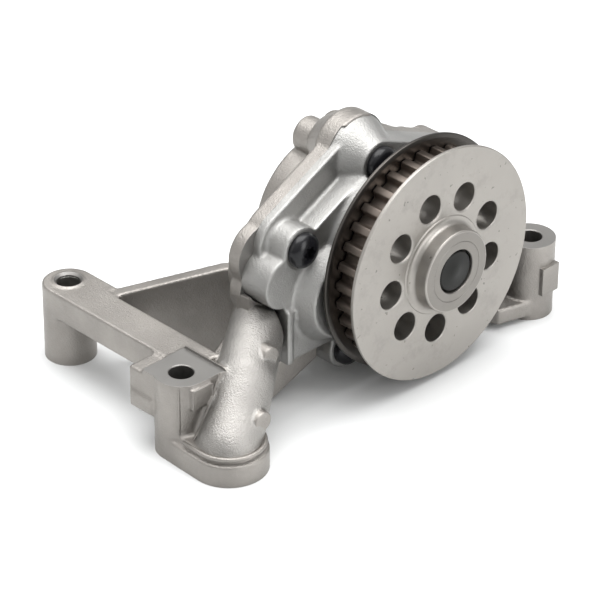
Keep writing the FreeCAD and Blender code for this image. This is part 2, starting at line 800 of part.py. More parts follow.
def housing():
    front = cut(
        fuse(
            *feet(), *webs(), *ejector_bosses(), ball("tube_foot_radius", tube_route()[0]),
            *tube("tube_foot_radius", "tube_knee_radius", "tube_head_radius"),
        ),
        box("shaft_x + tab_left_dx - cover_room", "joint_y - room_depth",
            "shaft_z + tab_bottom_dz - cover_room",
            "right_foot_x - shaft_x - tab_left_dx - 14", "room_depth", "room_height"),
        lobe("cover_lobe", "cover_lobe_radius + cover_room", "joint_y - room_depth", "room_depth"),
        lobe("corner_screw", "screw_boss_radius + cover_room", "joint_y - room_depth",
             "room_depth"),
    )
    whole = fuse(front, *housing_body())
    return named(cut(whole, *housing_cuts()), "pump_housing")


def bush(node, start, length):
    points = [
        ("shaft_radius + running_gap", "0"),
        ("shaft_radius + bush_wall", "0"),
        ("shaft_radius + bush_wall", length),
        ("shaft_radius + running_gap", length),
    ]
    return named(turned(points, "shaft_x", start, "shaft_z", ALONG_Y), node)


def drive_shaft():
    start = "%s - hub_rise + shaft_recess" % PULLEY_FACE
    length = "(%s + rear_bush_length + 0.5 - (%s))" % (CHAMBER_END, start)
    points = [
        ("0", "0"),
        ("shaft_radius - 1", "0"),
        ("shaft_radius", "1"),
        ("shaft_radius", "%s - 1" % length),
        ("shaft_radius - 1", length),
        ("0", length),
    ]
    rod = turned(points, "shaft_x", start, "shaft_z", ALONG_Y)
    return named(cut(rod, pin_cylinder()), "drive_shaft")


def pin_cylinder():
    """Cross pin that drives the inner rotor."""
    return cylinder("pin_radius", "pin_length", "shaft_x", "joint_y + end_gap + 5",
                    "shaft_z - pin_length / 2", UPRIGHT)


def drive_pulley():
    rim_back = "flange_thickness + belt_width"
    back = "2 * flange_thickness + belt_width"
    hub_front = "hub_rise"
    points = [
        ("shaft_radius", hub_front),
        ("hub_radius - hub_edge", hub_front),
        ("hub_radius", "hub_rise - hub_edge"),
        ("hub_radius", "1"),
        ("hub_radius + 1", "0"),
        (FLANGE_RADIUS, "0"),
        (FLANGE_RADIUS, "-flange_thickness"),
        (TIP_RADIUS, "-flange_thickness"),
        (TIP_RADIUS, "-(%s)" % rim_back),
        (SEAT_RADIUS, "-(%s)" % rim_back),
        (SEAT_RADIUS, "-(%s)" % back),
        (RIM_INNER, "-(%s)" % back),
        (RIM_INNER, "-web_thickness"),
        ("rear_hub_radius", "-web_thickness"),
        ("rear_hub_radius", "-%s" % PULLEY_LENGTH),
        ("shaft_radius", "-%s" % PULLEY_LENGTH),
    ]
    body = turned(points, "shaft_x", PULLEY_FACE, "shaft_z", TOWARDS_PULLEY)
    DOC.recompute()
    polar_pocket(body, "hole_ring", "hole_radius", "hole_count", "hole_turn", "web_thickness + 1")
    return named(cut(body, belt_grooves()), "drive_pulley")


def belt_grooves():
    """Grooves between the teeth, one at each belt pitch."""
    x = "%s - groove_depth + groove_radius" % TIP_RADIUS
    start = "%s + flange_thickness" % PULLEY_FACE
    radius = value(x)
    grooves = []
    for index in range(int(value("tooth_count"))):
        angle = math.radians(value("groove_turn") + 360 * index / value("tooth_count"))
        along_x, along_z = math.cos(angle), math.sin(angle)
        centre = Vector(value("shaft_x") + radius * along_x, value(start),
                        value("shaft_z") + radius * along_z)
        grooves.append(Part.makeCylinder(value("groove_radius"), value("belt_width"), centre,
                                         Vector(0, 1, 0)))
    return feature(Part.makeCompound(grooves))


def rear_flange():
    rim = "flange_thickness"
    points = [
        (SEAT_RADIUS, "0"),
        (FLANGE_RADIUS + " - flange_edge", "0"),
        (FLANGE_RADIUS, "0.3 * flange_thickness"),
        (FLANGE_RADIUS, rim),
        (SEAT_RADIUS, rim),
    ]
    start = "%s + flange_thickness + belt_width" % PULLEY_FACE
    return named(turned(points, "shaft_x", start, "shaft_z", ALONG_Y), "pulley_rear_flange")


def screw_at(name):
    """Round-head cover screw with a six-lobe socket, head towards the pulley."""
    edge = "screw_head_radius"
    points = [
        ("0", "-screw_length"),
        ("screw_radius - 1", "-screw_length"),
        ("screw_radius", "1 - screw_length"),
        ("screw_radius", "0"),
        (edge, "0"),
        (edge, "0.3 * screw_head_height"),
        ("0.93 * " + edge, "0.62 * screw_head_height"),
        ("0.75 * " + edge, "0.86 * screw_head_height"),
        ("0.5 * " + edge, "screw_head_height"),
        ("0", "screw_head_height"),
    ]
    blank = turned(points, *place_of(name, COVER_FRONT), TOWARDS_PULLEY)
    start = "%s - screw_head_height" % COVER_FRONT
    core = lobe(name, "screw_socket_radius", start, "screw_socket_depth")
    x, z = across(name)
    points_of_star = []
    for index in range(6):
        angle = math.pi * index / 3
        points_of_star.append(cylinder(
            "0.3 * screw_socket_radius", "screw_socket_depth",
            "%s + 0.85 * screw_socket_radius * %r" % (x, math.cos(angle)), start,
            "%s + 0.85 * screw_socket_radius * %r" % (z, math.sin(angle)), ALONG_Y,
        ))
    return cut(blank, core, *points_of_star)


def cover_screws():
    group = DOC.addObject("Part::Compound", "Screws")
    group.Links = [screw_at(name) for name in SCREWS]
    return named(group, "cover_screws")


def cover_dowels():
    group = DOC.addObject("Part::Compound", "Dowels")
    group.Links = [
        lobe(name, "dowel_radius", "joint_y - dowel_length / 2 + 0.25", "dowel_length - 0.5")
        for name in DOWELS
    ]
    return named(group, "cover_dowels")


def foot_sleeve(node, x, y, length):
    points = [
        ("bolt_radius", "0"),
        ("bolt_radius + sleeve_wall", "0"),
        ("bolt_radius + sleeve_wall", length),
        ("bolt_radius", length),
    ]
    return named(turned(points, x, y, 0, UPRIGHT), node)


def port_seal():
    """Sealing ring in the groove around the delivery port."""
    ring = DOC.addObject("Part::Torus", "Ring")
    bind(ring, "Radius1", "seal_radius")
    bind(ring, "Radius2", "seal_section")
    return named(place(ring, "port_x", "port_y", "seal_section + seal_gap", UPRIGHT), "port_seal")


def rotor_outline(gap):
    """Closed curve of the inner rotor, the inner parallel of an epitrochoid."""
    lobes = int(value("inner_lobes"))
    offset = value("eccentricity")
    centre = value("lobe_centre_radius")
    radius = value("lobe_radius") + gap
    outer = lobes + 1
    steps = 24 * lobes
    points = []
    for index in range(steps):
        angle = 2 * math.pi * index / steps
        x = centre * math.cos(angle) - offset * math.cos(outer * angle)
        z = centre * math.sin(angle) - offset * math.sin(outer * angle)
        run_x = -centre * math.sin(angle) + offset * outer * math.sin(outer * angle)
        run_z = centre * math.cos(angle) - offset * outer * math.cos(outer * angle)
        size = math.hypot(run_x, run_z)
        # The offset points right of the direction of travel turned inwards; x is mirrored
        # because the outer rotor's axis lies on the -X side of the shaft.
        points.append(Vector(-(x - radius * run_z / size), 0, z + radius * run_x / size))
    curve = Part.BSplineCurve()
    curve.interpolate(Points=points, PeriodicFlag=True)
    return Part.Wire(curve.toShape())


def inner_rotor():
    width = value("rotor_width")
    profile = Part.Face(rotor_outline(value("rotor_gap")))
    shape = profile.extrude(Vector(0, width, 0))
    blank = place(feature(shape), "shaft_x", "joint_y + end_gap", "shaft_z", UPRIGHT)
    bore = cylinder("shaft_radius", "rotor_width", "shaft_x", "joint_y + end_gap", "shaft_z", ALONG_Y)
    slot = box("shaft_x - pin_radius", "joint_y + end_gap", "shaft_z - pin_length / 2",
               "2 * pin_radius", "5 + pin_radius", "pin_length")
    return named(cut(blank, bore, slot), "inner_rotor")


def outer_rotor():
    """Ring with one inward lobe more than the inner rotor has outward ones."""
    lobes = int(value("inner_lobes")) + 1
    width = value("rotor_width")
    root = value("lobe_centre_radius - lobe_radius + 2 * eccentricity + 0.1")
    cavity = Part.makeCylinder(root, width, Vector(), Vector(0, 1, 0))
    centre = value("lobe_centre_radius")
    for index in range(lobes):
        angle = math.pi * (2 * index + 1) / lobes
        spot = Vector(-centre * math.cos(angle), 0, centre * math.sin(angle))
        cavity = cavity.cut(Part.makeCylinder(value("lobe_radius"), width, spot, Vector(0, 1, 0)))
    disc = Part.makeCylinder(value("outer_rotor_radius"), width, Vector(), Vector(0, 1, 0))
    ring = feature(disc.cut(cavity))
    place(ring, "shaft_x - eccentricity", "joint_y + end_gap", "shaft_z", UPRIGHT)
    return named(ring, "outer_rotor")


def relief_piston():
    """Cup-shaped piston, crown towards the seat."""
    inner = "relief_bore_radius - running_gap - piston_wall"
    outer = "relief_bore_radius - running_gap"
    points = [
        ("0", "0"),
        (outer + " - 0.6", "0"),
        (outer, "0.6"),
        (outer, "piston_length"),
        (inner, "piston_length"),
        (inner, "piston_crown"),
        ("0", "piston_crown"),
    ]
    return named(on_relief(turned(points, 0, 0, 0, UPRIGHT), "0.02 - relief_seat"), "relief_piston")


def relief_spring():
    """Coil spring between the piston's crown and the plug."""
    start = value("piston_crown - relief_seat + 0.02 + spring_wire + 0.1")
    end = value("relief_length - plug_thread - spring_wire - 0.1")
    radius = value("relief_bore_radius - piston_wall - spring_wire - 0.25")
    length = end - start
    helix = Part.makeHelix(length / value("spring_turns"), length, radius)
    wire = value("spring_wire")
    circle = Part.Wire(Part.makeCircle(wire, Vector(radius, 0, 0), Vector(0, 1, 0)))
    coil = Part.Wire(helix).makePipeShell([circle], True, True)
    return named(on_relief(feature(coil), start), "relief_spring")


def relief_plug():
    """Screw plug that closes the relief bore."""
    points = [
        ("0", "-plug_thread"),
        ("relief_bore_radius", "-plug_thread"),
        ("relief_bore_radius", "washer_thickness"),
        ("plug_head_radius", "washer_thickness"),
        ("plug_head_radius", "washer_thickness + plug_head - 0.8"),
        ("plug_head_radius - 0.8", "washer_thickness + plug_head"),
        ("0", "washer_thickness + plug_head"),
    ]
    blank = on_relief(turned(points, 0, 0, 0, UPRIGHT), "relief_length")
    prism = DOC.addObject("Part::Prism", "Socket")
    prism.Polygon = 6
    bind(prism, "Circumradius", "0.45 * plug_head_radius")
    bind(prism, "Height", "plug_head - 1.5")
    on_relief(prism, "relief_length + washer_thickness + 1.5")
    return named(cut(blank, prism), "relief_plug")


def relief_washer():
    points = [
        ("relief_bore_radius + 0.05", "0"),
        ("plug_head_radius", "0"),
        ("plug_head_radius", "washer_thickness"),
        ("relief_bore_radius + 0.05", "washer_thickness"),
    ]
    return named(on_relief(turned(points, 0, 0, 0, UPRIGHT), "relief_length"), "relief_plug_washer")


def rotor_pin():
    return named(pin_cylinder(), "rotor_drive_pin")


def build():
    rear_bush_start = "%s + 0.3" % CHAMBER_END
    return [
        housing(),
        cover(),
        cover_screws(),
        cover_dowels(),
        bush("cover_bush", "joint_y - cover_bush_length - 1", "cover_bush_length"),
        bush("rear_bush", rear_bush_start, "rear_bush_length - 0.3"),
        drive_shaft(),
        drive_pulley(),
        rear_flange(),
        inner_rotor(),
        outer_rotor(),
        rotor_pin(),
        relief_piston(),
        relief_spring(),
        relief_plug(),
        relief_washer(),
        port_seal(),
        foot_sleeve("left_foot_sleeve", "left_foot_x", "left_foot_y", LEFT_SLEEVE),
        foot_sleeve("right_foot_sleeve", "right_foot_x", "right_foot_y", "sleeve_length"),
    ]


PIECES = build()
DOC.recompute()
for thing in DOC.Objects:
    if "Invalid" in thing.State or "Error" in thing.State:
        raise RuntimeError("%s failed: %s" % (thing.Label, thing.State))
for node, piece in PIECES:
    if piece.Shape.isNull() or not piece.Shape.isValid():
        raise RuntimeError(node + " has no valid shape")

os.makedirs("parts", exist_ok=True)
for node, piece in PIECES:
    piece.Shape.exportStep(os.path.join("parts", node + ".step"))
    print("%-20s solids %d  volume %.1f mm3" % (node, len(piece.Shape.Solids), piece.Shape.Volume))
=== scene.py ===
import math

import bmesh
import bpy
import numpy as np
from mathutils import Matrix, Vector


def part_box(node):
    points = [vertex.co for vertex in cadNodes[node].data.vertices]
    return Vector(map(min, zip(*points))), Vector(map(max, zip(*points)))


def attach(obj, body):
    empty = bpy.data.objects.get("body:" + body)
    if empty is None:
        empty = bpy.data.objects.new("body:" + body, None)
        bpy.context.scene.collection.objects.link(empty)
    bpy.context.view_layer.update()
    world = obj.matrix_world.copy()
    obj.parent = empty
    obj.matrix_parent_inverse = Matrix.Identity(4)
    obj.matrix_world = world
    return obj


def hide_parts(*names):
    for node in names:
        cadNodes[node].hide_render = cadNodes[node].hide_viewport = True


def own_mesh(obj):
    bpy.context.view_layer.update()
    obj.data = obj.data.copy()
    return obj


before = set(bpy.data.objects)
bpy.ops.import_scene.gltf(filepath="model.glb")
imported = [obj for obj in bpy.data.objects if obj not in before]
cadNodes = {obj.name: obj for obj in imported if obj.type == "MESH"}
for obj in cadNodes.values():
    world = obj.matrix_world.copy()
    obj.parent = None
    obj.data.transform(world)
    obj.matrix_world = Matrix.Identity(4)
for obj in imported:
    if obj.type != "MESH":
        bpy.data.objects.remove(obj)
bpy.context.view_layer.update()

mm = 0.001  # sizes below are in millimetres and become metres with this
onPlane = 2e-5  # metres: a vertex nearer than this to a plane lies on it


# small tools that every piece uses

def nodeTree(material):
    material.use_nodes = True
    tree = material.node_tree
    shader = next(n for n in tree.nodes if n.type == "BSDF_PRINCIPLED")
    return tree, shader


def addNoise(tree, coords, scale, detail=4.0, rough=0.55):
    noise = tree.nodes.new("ShaderNodeTexNoise")
    noise.inputs["Scale"].default_value = scale
    noise.inputs["Detail"].default_value = detail
    noise.inputs["Roughness"].default_value = rough
    tree.links.new(coords, noise.inputs["Vector"])
    return noise.outputs["Fac"]


def addRamp(tree, factor, stops):
    ramp = tree.nodes.new("ShaderNodeValToRGB")
    elements = ramp.color_ramp.elements
    while len(elements) < len(stops):
        elements.new(0.5)
    for element, (spot, colour) in zip(elements, stops):
        element.position = spot
        element.color = (*colour, 1.0) if len(colour) == 3 else colour
    tree.links.new(factor, ramp.inputs["Fac"])
    return ramp.outputs["Color"]


def addTint(tree, base, factor):
    mix = tree.nodes.new("ShaderNodeMix")
    mix.data_type = "RGBA"
    mix.blend_type = "MULTIPLY"
    mix.inputs["Factor"].default_value = 1.0
    tree.links.new(base, mix.inputs["A"])
    tree.links.new(factor, mix.inputs["B"])
    return mix.outputs["Result"]


def addRange(tree, value, low, high):
    node = tree.nodes.new("ShaderNodeMapRange")
    node.inputs["To Min"].default_value = low
    node.inputs["To Max"].default_value = high
    tree.links.new(value, node.inputs["Value"])
    return node.outputs["Result"]


def addBump(tree, shader, layers, edge=0.0):
    # each layer is (height output, strength, depth in mm), stacked one on the other
    last = None
    if edge:
        soft = tree.nodes.new("ShaderNodeBevel")
        soft.samples = 4
        soft.inputs["Radius"].default_value = edge * mm
        last = soft.outputs["Normal"]
    for height, strength, depth in layers:
        bump = tree.nodes.new("ShaderNodeBump")
        bump.inputs["Strength"].default_value = strength
        bump.inputs["Distance"].default_value = depth * mm
        tree.links.new(height, bump.inputs["Height"])
        if last:
            tree.links.new(last, bump.inputs["Normal"])
        last = bump.outputs["Normal"]
    tree.links.new(last, shader.inputs["Normal"])


def objectCoords(tree):
    return tree.nodes.new("ShaderNodeTexCoord").outputs["Object"]


def meshObject(name, verts, faces, materials, smoothAngle=35.0):
    mesh = bpy.data.meshes.new(name)
    mesh.from_pydata([tuple(v) for v in verts], [], faces)
    mesh.validate()
    return finishObject(name, mesh, materials, smoothAngle)


def finishObject(name, mesh, materials, smoothAngle=35.0):
    for material in materials:
        mesh.materials.append(material)
    tidy = bmesh.new()
    tidy.from_mesh(mesh)
    bmesh.ops.recalc_face_normals(tidy, faces=tidy.faces)
    tidy.to_mesh(mesh)
    tidy.free()
    smoothMesh(mesh, smoothAngle)
    thing = bpy.data.objects.new(name, mesh)
    bpy.context.scene.collection.objects.link(thing)
    return thing


def smoothMesh(mesh, angle):
    mesh.polygons.foreach_set("use_smooth", [True] * len(mesh.polygons))
    mesh.set_sharp_from_angle(angle=math.radians(angle))


def roundedOutline(corners, steps=5):
    # corners are (across, along, radius); each radius is laid in as an arc
    points = []
    count = len(corners)
    for index, (x, y, radius) in enumerate(corners):
        here = Vector((x, y))
        if radius <= 0:
            points.append((x, y))
            continue
        before = (Vector(corners[index - 1][:2]) - here).normalized()
        after = (Vector(corners[(index + 1) % count][:2]) - here).normalized()
        half = before.angle(after) / 2
        run = radius / math.tan(half)
        centre = here + (before + after).normalized() * (radius / math.sin(half))
        start, end = here + before * run - centre, here + after * run - centre
        sweep = start.angle_signed(end)
        for step in range(steps + 1):
            turn = -sweep * step / steps
            cosine, sine = math.cos(turn), math.sin(turn)
            points.append((centre.x + start.x * cosine - start.y * sine,
                           centre.y + start.x * sine + start.y * cosine))
    return points


def turnedMesh(outline, segments, place):
    # outline is a closed list of (radius, along); place turns (x, y, along) into the frame
    verts, faces, rings = [], [], []
    for radius, along in outline:
        if radius < 1e-6:
            rings.append([len(verts)] * segments)
            verts.append(place((0, 0, along)))
            continue
        rings.append(list(range(len(verts), len(verts) + segments)))
        for step in range(segments):
            angle = 2 * math.pi * step / segments
            verts.append(place((radius * math.cos(angle), radius * math.sin(angle), along)))
    for first, second in zip(rings, rings[1:] + rings[:1]):
        for step in range(segments):
            after = (step + 1) % segments
            corners = [first[step], first[after], second[after], second[step]]
            face = list(dict.fromkeys(corners))
            if len(face) > 2:
                faces.append(face)
    return verts, faces


def prismMesh(outline, low, high, place):
    verts = [place((x, y, low)) for x, y in outline] + [place((x, y, high)) for x, y in outline]
    count = len(outline)
    faces = [list(range(count))[::-1], list(range(count, 2 * count))]
    for step in range(count):
        after = (step + 1) % count
        faces.append([step, after, count + after, count + step])
    return verts, faces


def joined(parts):
    verts, faces = [], []
    for partVerts, partFaces in parts:
        faces += [[index + len(verts) for index in face] for face in partFaces]
        verts += list(partVerts)
    return verts, faces


def onShaft(x, y, dy=0.0):
    # a place function for pieces turned about an axis that runs along Y, sizes in mm
    return lambda p: Vector(((x + p[0]) * mm, (dy + p[2]) * mm, (y + p[1]) * mm))


def upright(x, y, dz=0.0):
    return lambda p: Vector(((x + p[0]) * mm, (y + p[1]) * mm, (dz + p[2]) * mm))


def alongAxis(start, direction):
    turn = Vector((0, 0, 1)).rotation_difference(Vector(direction)).to_matrix()
    origin = Vector(start)
    return lambda p: (origin + turn @ Vector(p)) * mm


def cutOut(thing, cutters):
    # takes the cutters' shapes out of the piece, and keeps the result as plain mesh
    for tool in cutters:
        change = thing.modifiers.new("cut", "BOOLEAN")
        change.operation = "DIFFERENCE"
        change.solver = "EXACT"
        change.object = tool
        change.material_mode = "TRANSFER"
    applyAll(thing)
    for tool in cutters:
        bpy.data.objects.remove(tool)


def applyAll(thing):
    view = bpy.context.evaluated_depsgraph_get()
    view.update()
    made = bpy.data.meshes.new_from_object(thing.evaluated_get(view), depsgraph=view)
    old = thing.data
    thing.modifiers.clear()
    thing.data = made
    bpy.data.meshes.remove(old)


def shadeFlats(thing):
    # large flat faces keep their own shading beside narrow rounded edges
    change = thing.modifiers.new("shade", "WEIGHTED_NORMAL")
    change.keep_sharp = True
    change.weight = 80


def vertexArrays(mesh):
    places = np.empty(len(mesh.vertices) * 3)
    mesh.vertices.foreach_get("co", places)
    edges = np.empty(len(mesh.edges) * 2, dtype=np.int64)
    mesh.edges.foreach_get("vertices", edges)
    return places.reshape(-1, 3), edges.reshape(-1, 2)


def relax(mesh, rounds, amount=0.5):
    places, edges = vertexArrays(mesh)
    count = len(places)
    near = np.bincount(edges.ravel(), minlength=count).astype(float)
    for step in range(rounds):
        total = np.zeros_like(places)
        for axis in range(3):
            total[:, axis] = (
                np.bincount(edges[:, 0], weights=places[edges[:, 1], axis], minlength=count)
                + np.bincount(edges[:, 1], weights=places[edges[:, 0], axis], minlength=count)
            )
        places += amount * (total / np.maximum(near, 1)[:, None] - places)
    mesh.vertices.foreach_set("co", places.ravel())
    mesh.update()


def swell(mesh, distance):
    normals = np.empty(len(mesh.vertices) * 3)
    mesh.vertices.foreach_get("normal", normals)
    places = vertexArrays(mesh)[0]
    places += normals.reshape(-1, 3) * distance
    mesh.vertices.foreach_set("co", places.ravel())
    mesh.update()


def remesh(thing, voxel):
    change = thing.modifiers.new("skin", "REMESH")
    change.mode = "VOXEL"
    change.voxel_size = voxel
    change.use_smooth_shade = True
    applyAll(thing)


def castSkin(name, node, look, plugs, moves, materials):
    # a cast skin over a CAD casting: inner corners are filled, outer ones rounded
    raw = cadNodes[node].data.copy()
    raw.materials.clear()
    work = bmesh.new()
    work.from_mesh(raw)
    bmesh.ops.remove_doubles(work, verts=work.verts, dist=2e-6)
    for vert in work.verts:
        moves(vert)
    work.to_mesh(raw)
    work.free()
    verts, faces = joined(plugs)
    extra = bpy.data.meshes.new(name)
    extra.from_pydata([tuple(v) for v in verts], [], faces)
    both = bmesh.new()
    both.from_mesh(raw)
    both.from_mesh(extra)
    bmesh.ops.triangulate(both, faces=[f for f in both.faces if len(f.verts) > 4])
    both.to_mesh(raw)
    both.free()
    bpy.data.meshes.remove(extra)
    thing = bpy.data.objects.new(name, raw)
    bpy.context.scene.collection.objects.link(thing)
    remesh(thing, look["voxel"] * mm)
    swell(thing.data, look["innerRound"] * mm)
    remesh(thing, look["voxel"] * mm)
    swell(thing.data, -look["innerRound"] * mm)
    remesh(thing, look["voxel"] * mm)
    relax(thing.data, look["relaxRounds"])
    thing.data.materials.clear()
    for material in materials:
        thing.data.materials.append(material)
    thing.data.polygons.foreach_set("use_smooth", [True] * len(thing.data.polygons))
    thing.data.update()
    return thing


def cutter(shape, material):
    verts, faces = shape
    return meshObject("cutter", verts, faces, [material])


def keep(piece, body, slot, *nodes):
    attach(piece, body)
    if nodes:
        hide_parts(*nodes)


# finishes: noise scales are per metre, edge is the soft edge's radius in mm
castGrain = {"broad": 38.0, "fine": 700.0, "speck": 1700.0, "edge": 0.35}
workedGrain = {"broad": 45.0, "fine": 1500.0, "stain": 110.0, "pit": 520.0, "edge": 0.3}
blackGrain = {"broad": 300.0, "fine": 1800.0}


def makeCast(name, colour, rough, grain, speckle):
    # colour varies over centimetres, the skin's grain over about a millimetre and less
    material = bpy.data.materials.new(name)
    tree, shader = nodeTree(material)
    coords = objectCoords(tree)
    broad = addNoise(tree, coords, castGrain["broad"], 4.0)
    fine = addNoise(tree, coords, castGrain["fine"], 4.0, 0.65)
    speck = addNoise(tree, coords, castGrain["speck"], 2.0, 0.7)
    shadeLow = tuple(c * 0.80 for c in colour)
    shadeHigh = tuple(min(c * 1.12, 1.0) for c in colour)
    base = addRamp(tree, broad, [(0.32, shadeLow), (0.68, shadeHigh)])
    tree.links.new(base, shader.inputs["Base Color"])
    shader.inputs["Metallic"].default_value = 1.0
    tree.links.new(addRange(tree, fine, rough - 0.08, rough + 0.12), shader.inputs["Roughness"])
    layers = [(broad, 0.15, 0.6), (fine, 0.45, grain), (speck, speckle, grain)]
    addBump(tree, shader, layers, castGrain["edge"])
    return material


def makeTurned(name, colour, rough, ridge, marks=0.0):
    # worked metal: faint clouding, and with marks also darker stains and small pits
    material = bpy.data.materials.new(name)
    tree, shader = nodeTree(material)
    coords = objectCoords(tree)
    broad = addNoise(tree, coords, workedGrain["broad"], 4.0)
    fine = addNoise(tree, coords, workedGrain["fine"], 3.0)
    base = addRamp(tree, broad, [(0.3, tuple(c * 0.90 for c in colour)), (0.7, colour)])
    layers = [(fine, 0.25, ridge)]
    if marks:
        stain = addNoise(tree, coords, workedGrain["stain"], 5.0, 0.7)
        pit = addNoise(tree, coords, workedGrain["pit"], 1.0, 0.4)
        wear = addRamp(tree, stain, [(0.52, (1.0, 1.0, 1.0)), (0.72, (1 - marks,) * 3)])
        holes = addRamp(tree, pit, [(0.745, (1.0, 1.0, 1.0)), (0.775, (1 - 3 * marks,) * 3)])
        base = addTint(tree, addTint(tree, base, wear), holes)
        layers.append((holes, 0.6, 0.12))
    tree.links.new(base, shader.inputs["Base Color"])
    shader.inputs["Metallic"].default_value = 1.0
    tree.links.new(addRange(tree, broad, rough - 0.06, rough + 0.08), shader.inputs["Roughness"])
    addBump(tree, shader, layers, workedGrain["edge"])
    return material


finishes = {
    "housing": dict(colour=(0.315, 0.297, 0.277), rough=0.44, grain=0.30, speckle=0.70),
    "tube": dict(colour=(0.345, 0.333, 0.317), rough=0.44, grain=0.34, speckle=0.9),
    "cover": dict(colour=(0.355, 0.351, 0.341), rough=0.47, grain=0.26, speckle=0.8),
}
castHousing = makeCast("castHousing", **finishes["housing"])
castTube = makeCast("castTube", **finishes["tube"])
castCover = makeCast("castCover", **finishes["cover"])
machinedAlu = makeTurned("machinedAluminium", (0.29, 0.282, 0.27), 0.42, 0.04)
pulleySteel = makeTurned("pulleySteel", (0.375, 0.356, 0.332), 0.46, 0.10, 0.13)
hubSteel = makeTurned("hubSteel", (0.245, 0.231, 0.214), 0.38, 0.05, 0.08)
toothSteel = makeTurned("toothSteel", (0.275, 0.233, 0.203), 0.34, 0.06)
flangeSteel = makeTurned("flangeSteel", (0.085, 0.079, 0.073), 0.34, 0.03)
shaftSteel = makeTurned("shaftSteel", (0.026, 0.026, 0.025), 0.30, 0.03)
brightSteel = makeTurned("brightSteel", (0.60, 0.59, 0.57), 0.28, 0.02)
sinteredSteel = makeTurned("sinteredSteel", (0.30, 0.28, 0.26), 0.45, 0.05)
bushMetal = makeTurned("bushMetal", (0.55, 0.40, 0.22), 0.38, 0.02)


def makeBlack(name, colour, rough):
    material = bpy.data.materials.new(name)
    tree, shader = nodeTree(material)
    coords = objectCoords(tree)
    broad = addNoise(tree, coords, blackGrain["broad"], 3.0)
    base = addRamp(tree, broad, [(0.3, colour), (0.7, tuple(c * 1.6 for c in colour))])
    tree.links.new(base, shader.inputs["Base Color"])
    tree.links.new(addRange(tree, broad, rough - 0.05, rough + 0.08), shader.inputs["Roughness"])
    shader.inputs["Specular IOR Level"].default_value = 0.3
    fine = addNoise(tree, coords, blackGrain["fine"], 2.0)
    addBump(tree, shader, [(fine, 0.10, 0.03)])
    return material


blackScrew = makeBlack("blackScrew", (0.005, 0.005, 0.006), 0.22)
sealRubber = makeBlack("sealRubber", (0.012, 0.012, 0.012), 0.55)
print("finishes made")


# the shaft line shared by the turned pieces
shaftLine = {"x": 99.0, "z": 48.5, "radius": 8.5}
joint = {"y": 6.0, "front": -6.5, "domeFront": -14.0, "plugPast": 1.1}
pulley = {
    "face": -31.5,
    "flangeRadius": 45.5,
    "flangeThick": 1.5,
    "hubRadius": 16.0,
    "hubRise": 7.2,
    "coveRadius": 2.2,
    "baseRing": 3.3,
    "baseRingRise": 0.4,
    "faceGroove": 11.6,
    "hubNose": 0.6,
    "noseInset": 0.6,
    "webThick": 10.0,
    "rimInner": 33.5,
    "beltWidth": 12.0,
    "rearHub": 14.0,
    "length": 16.5,
    "seatRadius": 37.0,
    "teeth": 33,
    "tipRadius": 41.33,
    "toothTurn": 8.0,
    "grooveMouth": 2.5,
    "grooveFloor": 1.75,
    "grooveDepth": 2.9,
    "cornerRadius": 0.55,
    "holeRadius": 5.5,
    "holeRing": 26.1,
    "holeCount": 9,
    "holeTurn": 25.3,
    "holeChamfer": 0.45,
    "holePast": 0.6,
    "toothSink": 0.05,
    "seatSink": 1.0,
    "backBevel": (0.75, 0.4, 0.25),
    "fitGap": 0.02,
    "dishWidth": 1.6,
    "dishDepth": 0.35,
    "segments": 256,
}


def buildPulleyDisc():
    # corners are (radius, along, rounding), from the bore by the rear to the hub's nose
    p = pulley
    outline = roundedOutline([
        (shaftLine["radius"], -p["hubRise"], 0.45),
        (shaftLine["radius"], p["length"], 0.35),
        (p["rearHub"], p["length"], 0.5),
        (p["rearHub"], p["webThick"], 1.0),
        (p["rimInner"], p["webThick"], 1.0),
        (p["rimInner"], p["beltWidth"] + 2 * p["flangeThick"], 0.3),
        (p["seatRadius"], p["beltWidth"] + 2 * p["flangeThick"], 0.2),
        (p["seatRadius"], p["flangeThick"], 0.1),
        (p["flangeRadius"], p["flangeThick"], 0.35),
        (p["flangeRadius"], 0.0, 0.35),
        (p["hubRadius"] + p["baseRing"], 0.0, 0.1),
        (p["hubRadius"] + p["baseRing"] - 0.3, -p["baseRingRise"], 0.15),
        (p["hubRadius"] + 0.2, -p["baseRingRise"], p["coveRadius"]),
        (p["hubRadius"], -p["hubRise"], 0.7),
        (p["faceGroove"] + 0.3, -p["hubRise"], 0),
        (p["faceGroove"] + 0.15, -p["hubRise"] + 0.2, 0),
        (p["faceGroove"], -p["hubRise"] + 0.05, 0),
    ], 6)
    place = onShaft(shaftLine["x"], shaftLine["z"], p["face"])
    verts, faces = turnedMesh(outline, p["segments"], place)
    disc = meshObject("beltPulley", verts, faces, [pulleySteel, hubSteel])
    nose = (p["face"] - p["hubRise"] + p["hubNose"]) * mm
    noseRadius = (p["hubRadius"] - p["noseInset"]) * mm
    for polygon in disc.data.polygons:
        across = polygon.center.x - shaftLine["x"] * mm
        upward = polygon.center.z - shaftLine["z"] * mm
        if polygon.center.y < nose and math.hypot(across, upward) < noseRadius:
            polygon.material_index = 1
    cutters = []
    for index in range(p["holeCount"]):
        angle = math.radians(p["holeTurn"] + 360.0 * index / p["holeCount"])
        x = shaftLine["x"] + p["holeRing"] * math.cos(angle)
        z = shaftLine["z"] + p["holeRing"] * math.sin(angle)
        r, c, past = p["holeRadius"], p["holeChamfer"], p["holePast"]
        hole = [(0, -past), (r + c + past, -past), (r, c), (r, p["webThick"] - c),
                (r + c + past, p["webThick"] + past), (0, p["webThick"] + past)]
        cutters.append(cutter(turnedMesh(hole, 56, onShaft(x, z, p["face"])), pulleySteel))
    cutOut(disc, cutters)
    shadeFlats(disc)
    return disc


